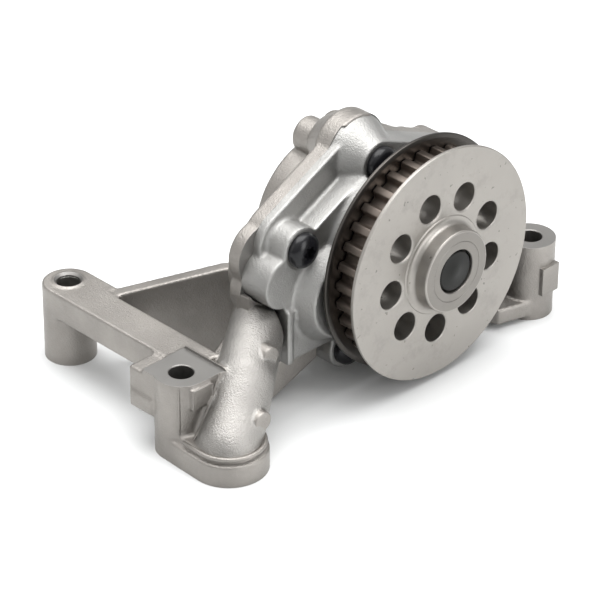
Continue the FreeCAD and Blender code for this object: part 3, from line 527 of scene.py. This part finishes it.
def toothOutline():
    # one groove as (along the tip circle, depth, rounding), repeated around the pulley;
    # its last two points only close the outline for the rounding, and are dropped
    p = pulley
    pitch = 2 * math.pi * p["tipRadius"] / p["teeth"]
    corners = [
        (-pitch / 2, 0.0, 0), (-p["grooveMouth"], 0.0, p["cornerRadius"]),
        (-p["grooveFloor"], p["grooveDepth"], 2 * p["cornerRadius"]),
        (p["grooveFloor"], p["grooveDepth"], 2 * p["cornerRadius"]),
        (p["grooveMouth"], 0.0, p["cornerRadius"]), (pitch / 2, 0.0, 0), (0.0, -9.0, 0),
    ]
    section = roundedOutline(corners, 4)[:-2]
    points = []
    for tooth in range(p["teeth"]):
        middle = math.radians(p["toothTurn"]) + 2 * math.pi * tooth / p["teeth"]
        for along, depth in section:
            angle = middle + along / p["tipRadius"]
            radius = p["tipRadius"] - depth
            points.append((radius * math.cos(angle), radius * math.sin(angle)))
    return points


def buildTeeth():
    p = pulley
    outline = toothOutline()
    count = len(outline)
    back = p["flangeThick"] + p["beltWidth"]
    bevelStart, bevelEnd, bevelDepth = p["backBevel"]
    layers = [(p["flangeThick"] - p["toothSink"], 0.0), (back - bevelStart, 0.0),
              (back - bevelEnd, bevelDepth)]
    place = onShaft(shaftLine["x"], shaftLine["z"], p["face"])
    verts, faces = [], []
    for along, inset in layers:
        for x, z in outline:
            shrink = 1 - inset / p["tipRadius"]
            verts.append(place((x * shrink, z * shrink, along)))
    inner = p["seatRadius"] - p["seatSink"]
    for along in (layers[-1][0], layers[0][0]):
        for x, z in outline:
            scale = inner / math.hypot(x, z)
            verts.append(place((x * scale, z * scale, along)))
    rings = len(layers) + 2
    for ring in range(rings):
        following = (ring + 1) % rings
        for step in range(count):
            after = (step + 1) % count
            faces.append([ring * count + step, ring * count + after,
                          following * count + after, following * count + step])
    return meshObject("pulleyTeeth", verts, faces, [toothSteel], 40)


def buildRearFlange():
    p = pulley
    start = p["flangeThick"] + p["beltWidth"]
    inner = p["seatRadius"] + p["fitGap"]
    outline = roundedOutline([
        (inner, start, 0.1),
        (p["flangeRadius"] - p["dishWidth"], start, 0.8),
        (p["flangeRadius"], start + p["dishDepth"], 0.3),
        (p["flangeRadius"], start + p["flangeThick"], 0.3),
        (inner, start + p["flangeThick"], 0.1),
    ], 4)
    place = onShaft(shaftLine["x"], shaftLine["z"], p["face"])
    verts, faces = turnedMesh(outline, p["segments"], place)
    return meshObject("pulleyRearFlange", verts, faces, [flangeSteel])


shaftEnd = {
    "inset": 0.4,
    "nose": [(0, 0, 0), (2.2, 0.0, 0), (2.6, 0.12, 0), (7.4, 0.12, 0.2), (8.15, 0.75, 0.2)],
    "radius": 8.3,
    "rearRound": 0.8,
}


def buildShaft():
    start = pulley["face"] - pulley["hubRise"] + shaftEnd["inset"]
    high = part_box("drive_shaft")[1]
    length = high[1] / mm - start
    rear = [(shaftEnd["radius"], length, shaftEnd["rearRound"]), (0, length, 0)]
    outline = roundedOutline(shaftEnd["nose"] + rear, 4)
    verts, faces = turnedMesh(outline, 96, onShaft(shaftLine["x"], shaftLine["z"], start))
    return meshObject("driveShaft", verts, faces, [shaftSteel])


screwSet = {
    "places": [(-46.7, 14.4), (-7.5, 34.6), (34.0, 18.0), (29.0, -31.0), (-23.0, -36.0)],
    "length": 22.0,
    "radius": 4.0,
    "headRadius": 6.7,
    "headRise": 4.6,
    "socketRadius": 2.9,
    "socketDepth": 2.6,
    "threadPitch": 1.25,
    "threadStart": 4.0,
    "threadDepth": 0.5,
    "threadFit": 0.02,
    "tipTaper": 1.0,
    "domeShape": (0.9, 0.22, 0.78, 0.85),
}


def starOutline(radius, lobes=6, points=60, depth=0.14):
    outline = []
    for step in range(points):
        angle = 2 * math.pi * step / points
        reach = radius * (1 - depth + depth * math.cos(lobes * angle))
        outline.append((reach * math.cos(angle), reach * math.sin(angle)))
    return outline


def screwShape(x, z):
    s = screwSet
    sidePower, rim, rise, topPower = s["domeShape"]
    dome = []
    for step in range(9):
        angle = math.radians(90 * step / 8)
        dome.append((s["headRadius"] * math.sin(angle) ** sidePower,
                     -s["headRise"] * (rim + rise * math.cos(angle) ** topPower)))
    outline = [(0, -s["headRise"])] + dome[1:]
    outline += [(s["headRadius"], 0.0), (s["radius"], 0.0)]
    along = s["threadStart"]
    while along < s["length"] - s["tipTaper"]:
        outline += [(s["radius"] - s["threadFit"], along),
                    (s["radius"] - s["threadDepth"], along + s["threadPitch"] / 2)]
        along += s["threadPitch"]
    outline += [(s["radius"] - s["tipTaper"], s["length"]), (0, s["length"])]
    return turnedMesh(outline, 64, onShaft(x, z, joint["front"]))


def buildScrews():
    s = screwSet
    screws = []
    for dx, dz in s["places"]:
        x, z = shaftLine["x"] + dx, shaftLine["z"] + dz
        verts, faces = screwShape(x, z)
        screw = meshObject("coverScrew", verts, faces, [blackScrew])
        start = joint["front"] - s["headRise"]
        socket = prismMesh(starOutline(s["socketRadius"]), -1.0, s["socketDepth"],
                           onShaft(x, z, start))
        cutOut(screw, [cutter(socket, blackScrew)])
        screws.append(screw)
    work = bmesh.new()
    for screw in screws:
        work.from_mesh(screw.data)
    mesh = bpy.data.meshes.new("coverScrews")
    work.to_mesh(mesh)
    work.free()
    for screw in screws:
        bpy.data.objects.remove(screw)
    return finishObject("coverScrews", mesh, [blackScrew], 30)


pulleyDisc = buildPulleyDisc()
keep(pulleyDisc, "drive", "pulley_steel", "drive_pulley")
teethRing = buildTeeth()
keep(teethRing, "drive", "pulley_steel", "drive_pulley")
rearFlange = buildRearFlange()
keep(rearFlange, "drive", "flange_steel", "pulley_rear_flange")
shaft = buildShaft()
keep(shaft, "drive", "ground_steel", "drive_shaft")
screws = buildScrews()
keep(screws, "pump_body", "black_screw", "cover_screws")
print("pulley, shaft and screws made")


# castings
relief = {"tilt": 30.5, "offset": 30.0, "y": 24.5, "boreCut": 4.55, "seat": 9.0, "length": 26.0,
          "past": 3.0}
reliefTurn = math.radians(relief["tilt"])
reliefWay = Vector((math.cos(reliefTurn), 0, -math.sin(reliefTurn)))
reliefSide = Vector((math.sin(reliefTurn), 0, math.cos(reliefTurn)))


def reliefPoint(along):
    spot = reliefWay * along + reliefSide * relief["offset"]
    return (shaftLine["x"] + spot.x, relief["y"], shaftLine["z"] + spot.z)


housing = {
    "look": dict(voxel=0.5, innerRound=0.5, relaxRounds=1),
    "boltRadius": 4.5,
    "sleeveWall": 0.8,
    "leftSleeve": 30.0,
    "rightSleeve": 9.0,
    "feet": [(0.0, 0.0, 31.5), (13.0, 76.0, 31.0), (160.5, -20.0, 31.5)],  # x, y, top
    "boltChamfer": 0.3,
    "footTop": 31.5,
    "port": (4.0, -20.0, 8.0, 9.0),  # x, y, radius, depth
    "chamberRadius": 25.3,
    "chamberEnd": 26.15,
    "chamberX": 96.5,
    "bushRadius": 10.02,
    "bushSpan": (20, 37),
    "machinedLift": 1.2,
    "jointFrom": 30.0,
    # x, z and radius of the lobes that the joint face has beside the belt's space
    "jointLobes": [(46.0, 58.0, 13.2), (44.7, 51.6, 11.5), (45.0, 45.5, 11.5)],
    # outline and heights of the low web at the right foot's base
    "toe": [(136.0, -14.0), (140.0, -24.0), (153.0, -27.5), (160.0, -28.5), (160.0, -14.0)],
    "toeHeights": (2.0, 8.5),
    # where the right foot's side is cleared: degrees, radii and heights, each from and to
    "lugSector": (-50, 8, 9.9, 15.0, 10.9, 22.2),
    "lobeDepth": 3,
    "cutPast": 2,
    "edgeChamfer": 0.3,
    # boxes that leave flat faces: the underside, the post's top and the right foot's top
    "flats": [((-40, -60, -10), (200, 110, 0)), ((-11, -11, 31.5), (11.5, 11.2, 40)),
              ((140, -40, 31.5), (180, 0, 40))],
    "beltSpace": ((43.2, -34, 17.0), (143, joint["y"], 96)),
    # plugs close the holes while the skin is made, and the cutters open them again
    "footPlug": (5.6, -1.0, 0.9),
    "portPlug": (12.0, -1.0, 9.2),
    "chamberPlug": (25.2, 26.3),
    "bushPlug": (10.3, 20.0, 37.3),
    "reliefPlug": (4.7, -15.8, 25.9),
}


# each station of the tube is its centre and its radius
tube = {
    "stations": [((4.0, -20.0, 8.5), 11.8), ((20.7, -10.5, 24.6), 10.9),
                 ((49.5, 10.0, 36.5), 9.8)],
    "skin": 0.45,
    "lowest": 11.2,
    "furthest": 9.0,
}


def housingMoves(vert):
    # machined faces stand proud while the skin is made, and are then cut flat and sharp
    lift = housing["machinedLift"] * mm
    if abs(vert.co.z - housing["footTop"] * mm) < onPlane:
        vert.co.z += lift
    elif abs(vert.co.z) < onPlane:
        vert.co.z -= lift
    if abs(vert.co.y - joint["y"] * mm) < onPlane and vert.co.x > housing["jointFrom"] * mm:
        vert.co.y -= lift


def rod(radius, low, high):
    return [(0, low), (radius, low), (radius, high), (0, high)]


def housingPlugs():
    h = housing
    plugs = []
    radius, low, rise = h["footPlug"]
    for x, y, top in h["feet"]:
        plugs.append(turnedMesh(rod(radius, low, top + rise), 32, upright(x, y)))
    plugs.append(turnedMesh(rod(*h["portPlug"]), 48, upright(h["port"][0], h["port"][1])))
    radius, end = h["chamberPlug"]
    plugs.append(turnedMesh(rod(radius, joint["y"] - joint["plugPast"], end), 96,
                            onShaft(h["chamberX"], shaftLine["z"])))
    plugs.append(turnedMesh(rod(*h["bushPlug"]), 64, onShaft(shaftLine["x"], shaftLine["z"])))
    plugs.append(turnedMesh(rod(*h["reliefPlug"]), 32, alongAxis(reliefPoint(0), reliefWay)))
    plugs.append(prismMesh(h["toe"], *h["toeHeights"], upright(0, 0)))
    return plugs


def boreCutter(radius, low, high, chamfer, place):
    past = housing["cutPast"]
    shape = [(0, low - past), (radius + chamfer + past, low - past), (radius + chamfer, low),
             (radius, low + chamfer), (radius, high - chamfer), (radius + chamfer, high),
             (radius + chamfer + past, high + past), (0, high + past)]
    return cutter(turnedMesh(shape, 64, place), machinedAlu)


def boxCutter(low, high):
    corners = [(low[0], low[1]), (high[0], low[1]), (high[0], high[1]), (low[0], high[1])]
    return cutter(prismMesh(corners, low[2], high[2], upright(0, 0)), machinedAlu)


def arcPoints(radius, start, end, steps):
    # angles in degrees
    points = []
    for step in range(steps + 1):
        angle = math.radians(start + (end - start) * step / steps)
        points.append((radius * math.cos(angle), radius * math.sin(angle)))
    return points


def lugCutter():
    # clears the right foot's side, where its lug stands further round to the front
    start, end, inner, outer, low, high = housing["lugSector"]
    outline = arcPoints(outer, start, end, 16) + arcPoints(inner, end, start, 16)
    x, y = housing["feet"][2][:2]
    return cutter(prismMesh(outline, low, high, upright(x, y)), castHousing)


def sweptBead(route, radius, sides=10, tip=0.45, growth=0.40):
    # a closed round bead along a list of points, thinner at its ends
    verts, faces = [], []
    count = len(route)
    for index, spot in enumerate(route):
        before, after = route[max(index - 1, 0)], route[min(index + 1, count - 1)]
        way = (after - before).normalized()
        side = way.cross(Vector((0, 0, 1)))
        side = side.normalized() if side.length > 0.2 else way.cross(Vector((1, 0, 0))).normalized()
        lift = side.cross(way)
        taper = min(1.0, tip + growth * min(index, count - 1 - index))
        for step in range(sides):
            turn = 2 * math.pi * step / sides
            shift = side * math.cos(turn) + lift * math.sin(turn)
            verts.append((spot + shift * radius * taper) * mm)
    for index in range(count - 1):
        for step in range(sides):
            after = (step + 1) % sides
            faces.append([index * sides + step, index * sides + after,
                          (index + 1) * sides + after, (index + 1) * sides + step])
    faces.append(list(range(sides))[::-1])
    faces.append(list(range((count - 1) * sides, count * sides)))
    return verts, faces


trim = {
    "lipRadius": 0.85,
    "lipHeight": 10.7,
    "lipPost": (0.0, 0.0, 8.3),
    "lipPad": (4.0, -20.0, 12.9),
    "lipShares": (0.50, 0.03),
    "ejectors": [(12.9, -28.35, 17.9), (28.3, -16.3, 32.7)],
    "ejectorRadius": 3.8,
    "ejectorDepth": 9,
    "boxCorner": 0.2,
    # left, right, front, back, low, high
    "nib": (-4.5, 4.5, -11.2, -9.0, 22.3, 30.0),
    "flashRadius": 0.38,
    "flashWide": 1.3,
    "postFlash": (-7.35, -6.65, 10.6, 30.6),  # x, y, low, high
    "tubeFlash": [(8.8, -9.9, 30.9), (7.1, -10.2, 27.9), (4.2, -11.4, 24.6), (1.9, -11.7, 21.0),
                  (-0.7, -11.9, 17.0), (-3.0, -11.9, 13.3), (-5.6, -12.2, 11.2)],
    "neck": (34.3, 43.0, 33.0, 2.0, 8.0),  # left, right, low, front, back
    "neckLobe": (44.7, 51.7, 10.6),
    "neckInset": 1.2,
    "neckDrop": 0.2,
    "footLug": ((156.5, -30.9, 11.0), (165.5, -24.0, 22.5)),
}


def padLip():
    # the lip follows the front post's side and then goes round the tube's foot
    x1, y1, small = trim["lipPost"]
    x2, y2, large = trim["lipPad"]
    heading = math.atan2(y2 - y1, x2 - x1)
    lean = math.acos((small - large) / math.hypot(x2 - x1, y2 - y1))
    firstShare, stride = trim["lipShares"]
    route = []
    for step in range(2):
        share = firstShare + stride * step
        side = Vector((math.cos(heading - lean), math.sin(heading - lean)))
        start, end = Vector((x1, y1)) + side * small, Vector((x2, y2)) + side * large
        spot = start.lerp(end, share)
        route.append(Vector((spot.x, spot.y, trim["lipHeight"])))
    for step in range(41):
        angle = heading - lean + 2 * lean * step / 40
        route.append(Vector((x2 + large * math.cos(angle), y2 + large * math.sin(angle),
                             trim["lipHeight"])))
    return sweptBead(route, trim["lipRadius"])


def roundedBox(low, high):
    spots = [(low[0], low[1]), (high[0], low[1]), (high[0], high[1]), (low[0], high[1])]
    outline = roundedOutline([(x, y, trim["boxCorner"]) for x, y in spots], 3)
    return prismMesh(outline, low[2], high[2], upright(0, 0))


def neckWeb():
    # fills the corner between the tube's head and the lobe of the joint, clear of the cover
    left, right, low, front, back = trim["neck"]
    x, z, radius = trim["neckLobe"]
    outline = [(left, low), (right, low)]
    for step in range(13):
        across = right + (left + trim["neckInset"] - right) * step / 12
        outline.append((across, z - math.sqrt(radius ** 2 - (across - x) ** 2)))
    outline.append((left, outline[-1][1] - trim["neckDrop"]))
    return prismMesh(outline, front, back, onShaft(0, 0))


def castingTrim():
    t = trim
    shapes = [padLip(), neckWeb(), roundedBox(*t["footLug"])]
    wide = t["flashRadius"] * t["flashWide"]
    shapes.append(sweptBead([Vector(spot) for spot in t["tubeFlash"]], wide, 8))
    disc = roundedOutline([(0, 0, 0), (t["ejectorRadius"], 0, 0.5),
                           (t["ejectorRadius"], t["ejectorDepth"], 0.1),
                           (0, t["ejectorDepth"], 0)], 4)
    for x, y, z in t["ejectors"]:
        shapes.append(turnedMesh(disc, 40, onShaft(x, z, y)))
    left, right, front, back, low, high = t["nib"]
    shapes.append(roundedBox((left, front, low), (right, back, high)))
    for x in (left, right):
        route = [Vector((x, front, low + (high - low) * step / 6)) for step in range(7)]
        shapes.append(sweptBead(route, t["flashRadius"], 8))
    route = [Vector((left + (right - left) * step / 6, front, high)) for step in range(7)]
    shapes.append(sweptBead(route, t["flashRadius"], 8))
    x, y, low, high = t["postFlash"]
    route = [Vector((x, y, low + (high - low) * step / 8)) for step in range(9)]
    shapes.append(sweptBead(route, wide, 8))
    return joined(shapes)


def addShapes(thing, shape):
    verts, faces = shape
    extra = bpy.data.meshes.new("extra")
    extra.from_pydata([tuple(v) for v in verts], [], faces)
    work = bmesh.new()
    work.from_mesh(extra)
    bmesh.ops.recalc_face_normals(work, faces=work.faces)
    work.from_mesh(thing.data)
    work.to_mesh(thing.data)
    work.free()
    bpy.data.meshes.remove(extra)


def buildHousing():
    h = housing
    casting = castSkin("pumpHousing", "pump_housing", h["look"], housingPlugs(), housingMoves,
                       [castHousing, machinedAlu, castTube])
    print("housing skin", len(casting.data.polygons))
    cutters = [boxCutter(*corners) for corners in h["flats"]]
    for x, y, top in h["feet"]:
        cutters.append(boreCutter(h["boltRadius"], 0, top, h["boltChamfer"], upright(x, y)))
    wide = h["boltRadius"] + h["sleeveWall"]
    for (x, y, top), height in zip(h["feet"][1:], (h["leftSleeve"], h["rightSleeve"])):
        seat = rod(wide, -h["cutPast"], height)
        cutters.append(cutter(turnedMesh(seat, 64, upright(x, y)), machinedAlu))
    x, y, radius, depth = h["port"]
    cutters.append(boreCutter(radius, 0, depth, h["edgeChamfer"], upright(x, y)))
    cutters.append(boxCutter(*h["beltSpace"]))
    cutters.append(lugCutter())
    for x, z, radius in h["jointLobes"]:
        lobe = rod(radius, joint["y"] - h["lobeDepth"], joint["y"])
        cutters.append(cutter(turnedMesh(lobe, 64, onShaft(x, z)), machinedAlu))
    chamber = rod(h["chamberRadius"], joint["y"] - h["cutPast"], h["chamberEnd"])
    bush = rod(h["bushRadius"], *h["bushSpan"])
    valve = rod(relief["boreCut"], -relief["seat"], relief["length"] + relief["past"])
    for shape, segments, place in (
        (chamber, 128, onShaft(h["chamberX"], shaftLine["z"])),
        (bush, 96, onShaft(shaftLine["x"], shaftLine["z"])),
        (valve, 48, alongAxis(reliefPoint(0), reliefWay)),
    ):
        cutters.append(cutter(turnedMesh(shape, segments, place), machinedAlu))
    cutOut(casting, cutters)
    blastTube(casting.data)
    addShapes(casting, castingTrim())
    return casting


def blastTube(mesh):
    # faces of the inclined tube get the coarser skin
    centres = np.empty(len(mesh.polygons) * 3)
    mesh.polygons.foreach_get("center", centres)
    centres = centres.reshape(-1, 3)
    indices = np.empty(len(mesh.polygons), dtype=np.int32)
    mesh.polygons.foreach_get("material_index", indices)
    near = np.zeros(len(mesh.polygons), dtype=bool)
    for (start, startRadius), (end, endRadius) in zip(tube["stations"], tube["stations"][1:]):
        start, run = np.array(start) * mm, (np.array(end) - np.array(start)) * mm
        share = np.clip((centres - start) @ run / (run @ run), 0.0, 1.0)
        apart = np.linalg.norm(centres - start - share[:, None] * run, axis=1)
        near |= apart < (startRadius + (endRadius - startRadius) * share + tube["skin"]) * mm
    near &= (indices == 0) & (centres[:, 2] > tube["lowest"] * mm)
    indices[near & (centres[:, 1] < tube["furthest"] * mm)] = 2
    mesh.polygons.foreach_set("material_index", indices)


cover = {
    "look": dict(voxel=0.45, innerRound=0.5, relaxRounds=1),
    "boreRadius": 10.02,
    "boreChamfer": 0.3,
    "borePlug": 10.3,
    "screwPlug": 4.6,
    "plugInset": 0.02,
    "screwHole": 4.3,
    "spotRadius": 7.7,
    "spotDepth": 4,
    "spotPast": 2,
    "jointSlab": ((20, joint["y"], 0), (160, joint["y"] + 6, 110)),
}


def coverMoves(vert):
    if abs(vert.co.y - joint["y"] * mm) < onPlane:
        vert.co.y += housing["machinedLift"] * mm


def buildCover():
    c = cover
    middle = onShaft(shaftLine["x"], shaftLine["z"])
    screwPlaces = [onShaft(shaftLine["x"] + dx, shaftLine["z"] + dz)
                   for dx, dz in screwSet["places"]]
    back = joint["y"] + joint["plugPast"]
    plug = rod(c["screwPlug"], joint["front"] + c["plugInset"], back)
    plugs = [turnedMesh(plug, 32, place) for place in screwPlaces]
    plugs.append(turnedMesh(rod(c["borePlug"], joint["domeFront"], back), 64, middle))
    casting = castSkin("pumpCover", "pump_cover", c["look"], plugs, coverMoves,
                       [castCover, machinedAlu])
    print("cover skin", len(casting.data.polygons))
    cutters = [boxCutter(*c["jointSlab"])]
    cutters.append(boreCutter(c["boreRadius"], joint["domeFront"], joint["y"], c["boreChamfer"],
                              middle))
    start, end = joint["domeFront"] - c["spotDepth"], joint["y"] + c["spotPast"]
    spot = [(0, start), (c["spotRadius"], start), (c["spotRadius"], joint["front"]),
            (c["screwHole"], joint["front"]), (c["screwHole"], end), (0, end)]
    for place in screwPlaces:
        cutters.append(cutter(turnedMesh(spot, 64, place), machinedAlu))
    cutOut(casting, cutters)
    return casting


housingPiece = buildHousing()
keep(housingPiece, "pump_body", "cast_housing", "pump_housing")
coverPiece = buildCover()
keep(coverPiece, "pump_body", "cast_cover", "pump_cover")
for casting in (housingPiece, coverPiece):
    smoothMesh(casting.data, 40)
print("castings made")


# relief spring, built at one fixed length
coil = {"wire": 0.5, "turns": 8.0, "radius": 2.45, "start": -4.38, "end": 17.4, "keep": 0.70,
        "stepsPerTurn": 24, "sides": 10, "endSqueeze": 0.06}


def buildCoil():
    c = coil
    steps, sides = int(c["turns"] * c["stepsPerTurn"]), c["sides"]
    length = c["end"] - c["start"]
    place = alongAxis(reliefPoint(0), reliefWay)
    verts, faces = [], []
    for step in range(steps + 1):
        share = step / steps
        # closer turns at both ends
        eased = share - c["endSqueeze"] * math.sin(2 * math.pi * share)
        angle = 2 * math.pi * c["turns"] * share
        for side in range(sides):
            turn = 2 * math.pi * side / sides
            radius = c["radius"] + c["wire"] * math.cos(turn)
            along = c["start"] + length * eased + c["wire"] * math.sin(turn)
            verts.append(place((radius * math.cos(angle), radius * math.sin(angle), along)))
    for step in range(steps):
        for side in range(sides):
            after = (side + 1) % sides
            faces.append([step * sides + side, step * sides + after,
                          (step + 1) * sides + after, (step + 1) * sides + side])
    faces.append(list(range(sides)))
    faces.append(list(range(steps * sides, (steps + 1) * sides))[::-1])
    return meshObject("reliefCoil", verts, faces, [brightSteel], 60)


reliefCoil = buildCoil()
keep(reliefCoil, "pump_body", "spring_steel", "relief_spring")
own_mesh(reliefCoil)

carried = {
    "cover_dowels": brightSteel,
    "cover_bush": bushMetal,
    "rear_bush": bushMetal,
    "inner_rotor": sinteredSteel,
    "outer_rotor": sinteredSteel,
    "rotor_drive_pin": brightSteel,
    "relief_piston": brightSteel,
    "relief_plug": brightSteel,
    "relief_plug_washer": machinedAlu,
    "port_seal": sealRubber,
    "left_foot_sleeve": brightSteel,
    "right_foot_sleeve": brightSteel,
}
for node, material in carried.items():
    mesh = cadNodes[node].data
    mesh.materials.clear()
    mesh.materials.append(material)
print("carried nodes finished")


# floor, light and camera
studio = {
    "floorSize": 4.0,
    "floorColour": (0.70, 0.707, 0.707),
    "skyStops": [(0.0, (0.44, 0.44, 0.44)), (0.30, (0.56, 0.56, 0.56)), (0.9, (1.15, 1.15, 1.15))],
    "worldStrength": 1.0,
    "aim": (0.08, 0.02, 0.04),
    # name, place and size in metres, watts and colour
    "lights": [
        ("topSoftbox", (0.12, 0.05, 1.0), (1.2, 0.9), 16.5, (1.0, 1.0, 1.0)),
        ("leftSoftbox", (-0.9, 0.45, 0.50), (0.4, 0.7), 0.8, (1.0, 0.98, 0.95)),
        ("frontStrip", (0.25, -1.0, 0.25), (0.4, 0.9), 5.0, (1.0, 1.0, 1.0)),
    ],
    "lens": 180.0,
    "azimuth": 44.5,
    "elevation": 30.9,
    "roll": 0.4,
    "cameraPlace": (-0.59384, -0.66346, 0.59355),
}


def buildFloor():
    half = studio["floorSize"] / 2
    verts = [(-half, -half, 0), (half, -half, 0), (half, half, 0), (-half, half, 0)]
    material = bpy.data.materials.new("paleFloor")
    tree, shader = nodeTree(material)
    haze = addNoise(tree, objectCoords(tree), 3.0, 2.0)
    low = tuple(c * 0.985 for c in studio["floorColour"])
    tree.links.new(addRamp(tree, haze, [(0.35, low), (0.65, studio["floorColour"])]),
                   shader.inputs["Base Color"])
    shader.inputs["Roughness"].default_value = 0.6
    shader.inputs["Specular IOR Level"].default_value = 0.2
    floor = meshObject("floor", verts, [[0, 1, 2, 3]], [material])


def areaLight(name, place, size, watts, colour):
    data = bpy.data.lights.new(name, "AREA")
    data.shape = "RECTANGLE"
    data.size, data.size_y = size
    data.energy = watts
    data.color = colour
    lamp = bpy.data.objects.new(name, data)
    bpy.context.scene.collection.objects.link(lamp)
    lamp.location = place
    away = Vector(place) - Vector(studio["aim"])
    lamp.rotation_euler = away.to_track_quat("Z", "Y").to_euler()


def buildLights():
    for light in studio["lights"]:
        areaLight(*light)
    world = bpy.data.worlds.new("studioWorld")
    world.use_nodes = True
    tree = world.node_tree
    shade = tree.nodes["Background"]
    split = tree.nodes.new("ShaderNodeSeparateXYZ")
    tree.links.new(tree.nodes.new("ShaderNodeTexCoord").outputs["Generated"], split.inputs[0])
    tree.links.new(addRamp(tree, split.outputs["Z"], studio["skyStops"]), shade.inputs["Color"])
    shade.inputs["Strength"].default_value = studio["worldStrength"]
    bpy.context.scene.world = world


def buildCamera():
    azimuth, elevation = math.radians(studio["azimuth"]), math.radians(studio["elevation"])
    roll = math.radians(studio["roll"])
    back = Vector((-math.sin(azimuth) * math.cos(elevation),
                   -math.cos(azimuth) * math.cos(elevation), math.sin(elevation)))
    right = Vector((math.cos(azimuth), -math.sin(azimuth), 0))
    up = back.cross(right)
    across = right * math.cos(roll) + up * math.sin(roll)
    upward = up * math.cos(roll) - right * math.sin(roll)
    data = bpy.data.cameras.new("photoCamera")
    data.lens = studio["lens"]
    data.sensor_width = 36.0
    data.clip_start = 0.05
    data.clip_end = 20.0
    eye = bpy.data.objects.new("photoCamera", data)
    bpy.context.scene.collection.objects.link(eye)
    eye.matrix_world = Matrix((
        (across.x, upward.x, back.x, studio["cameraPlace"][0]),
        (across.y, upward.y, back.y, studio["cameraPlace"][1]),
        (across.z, upward.z, back.z, studio["cameraPlace"][2]),
        (0, 0, 0, 1),
    ))
    bpy.context.scene.camera = eye


buildFloor()
buildLights()
buildCamera()
bpy.context.scene.view_settings.view_transform = "Standard"
print("floor, light and camera made")
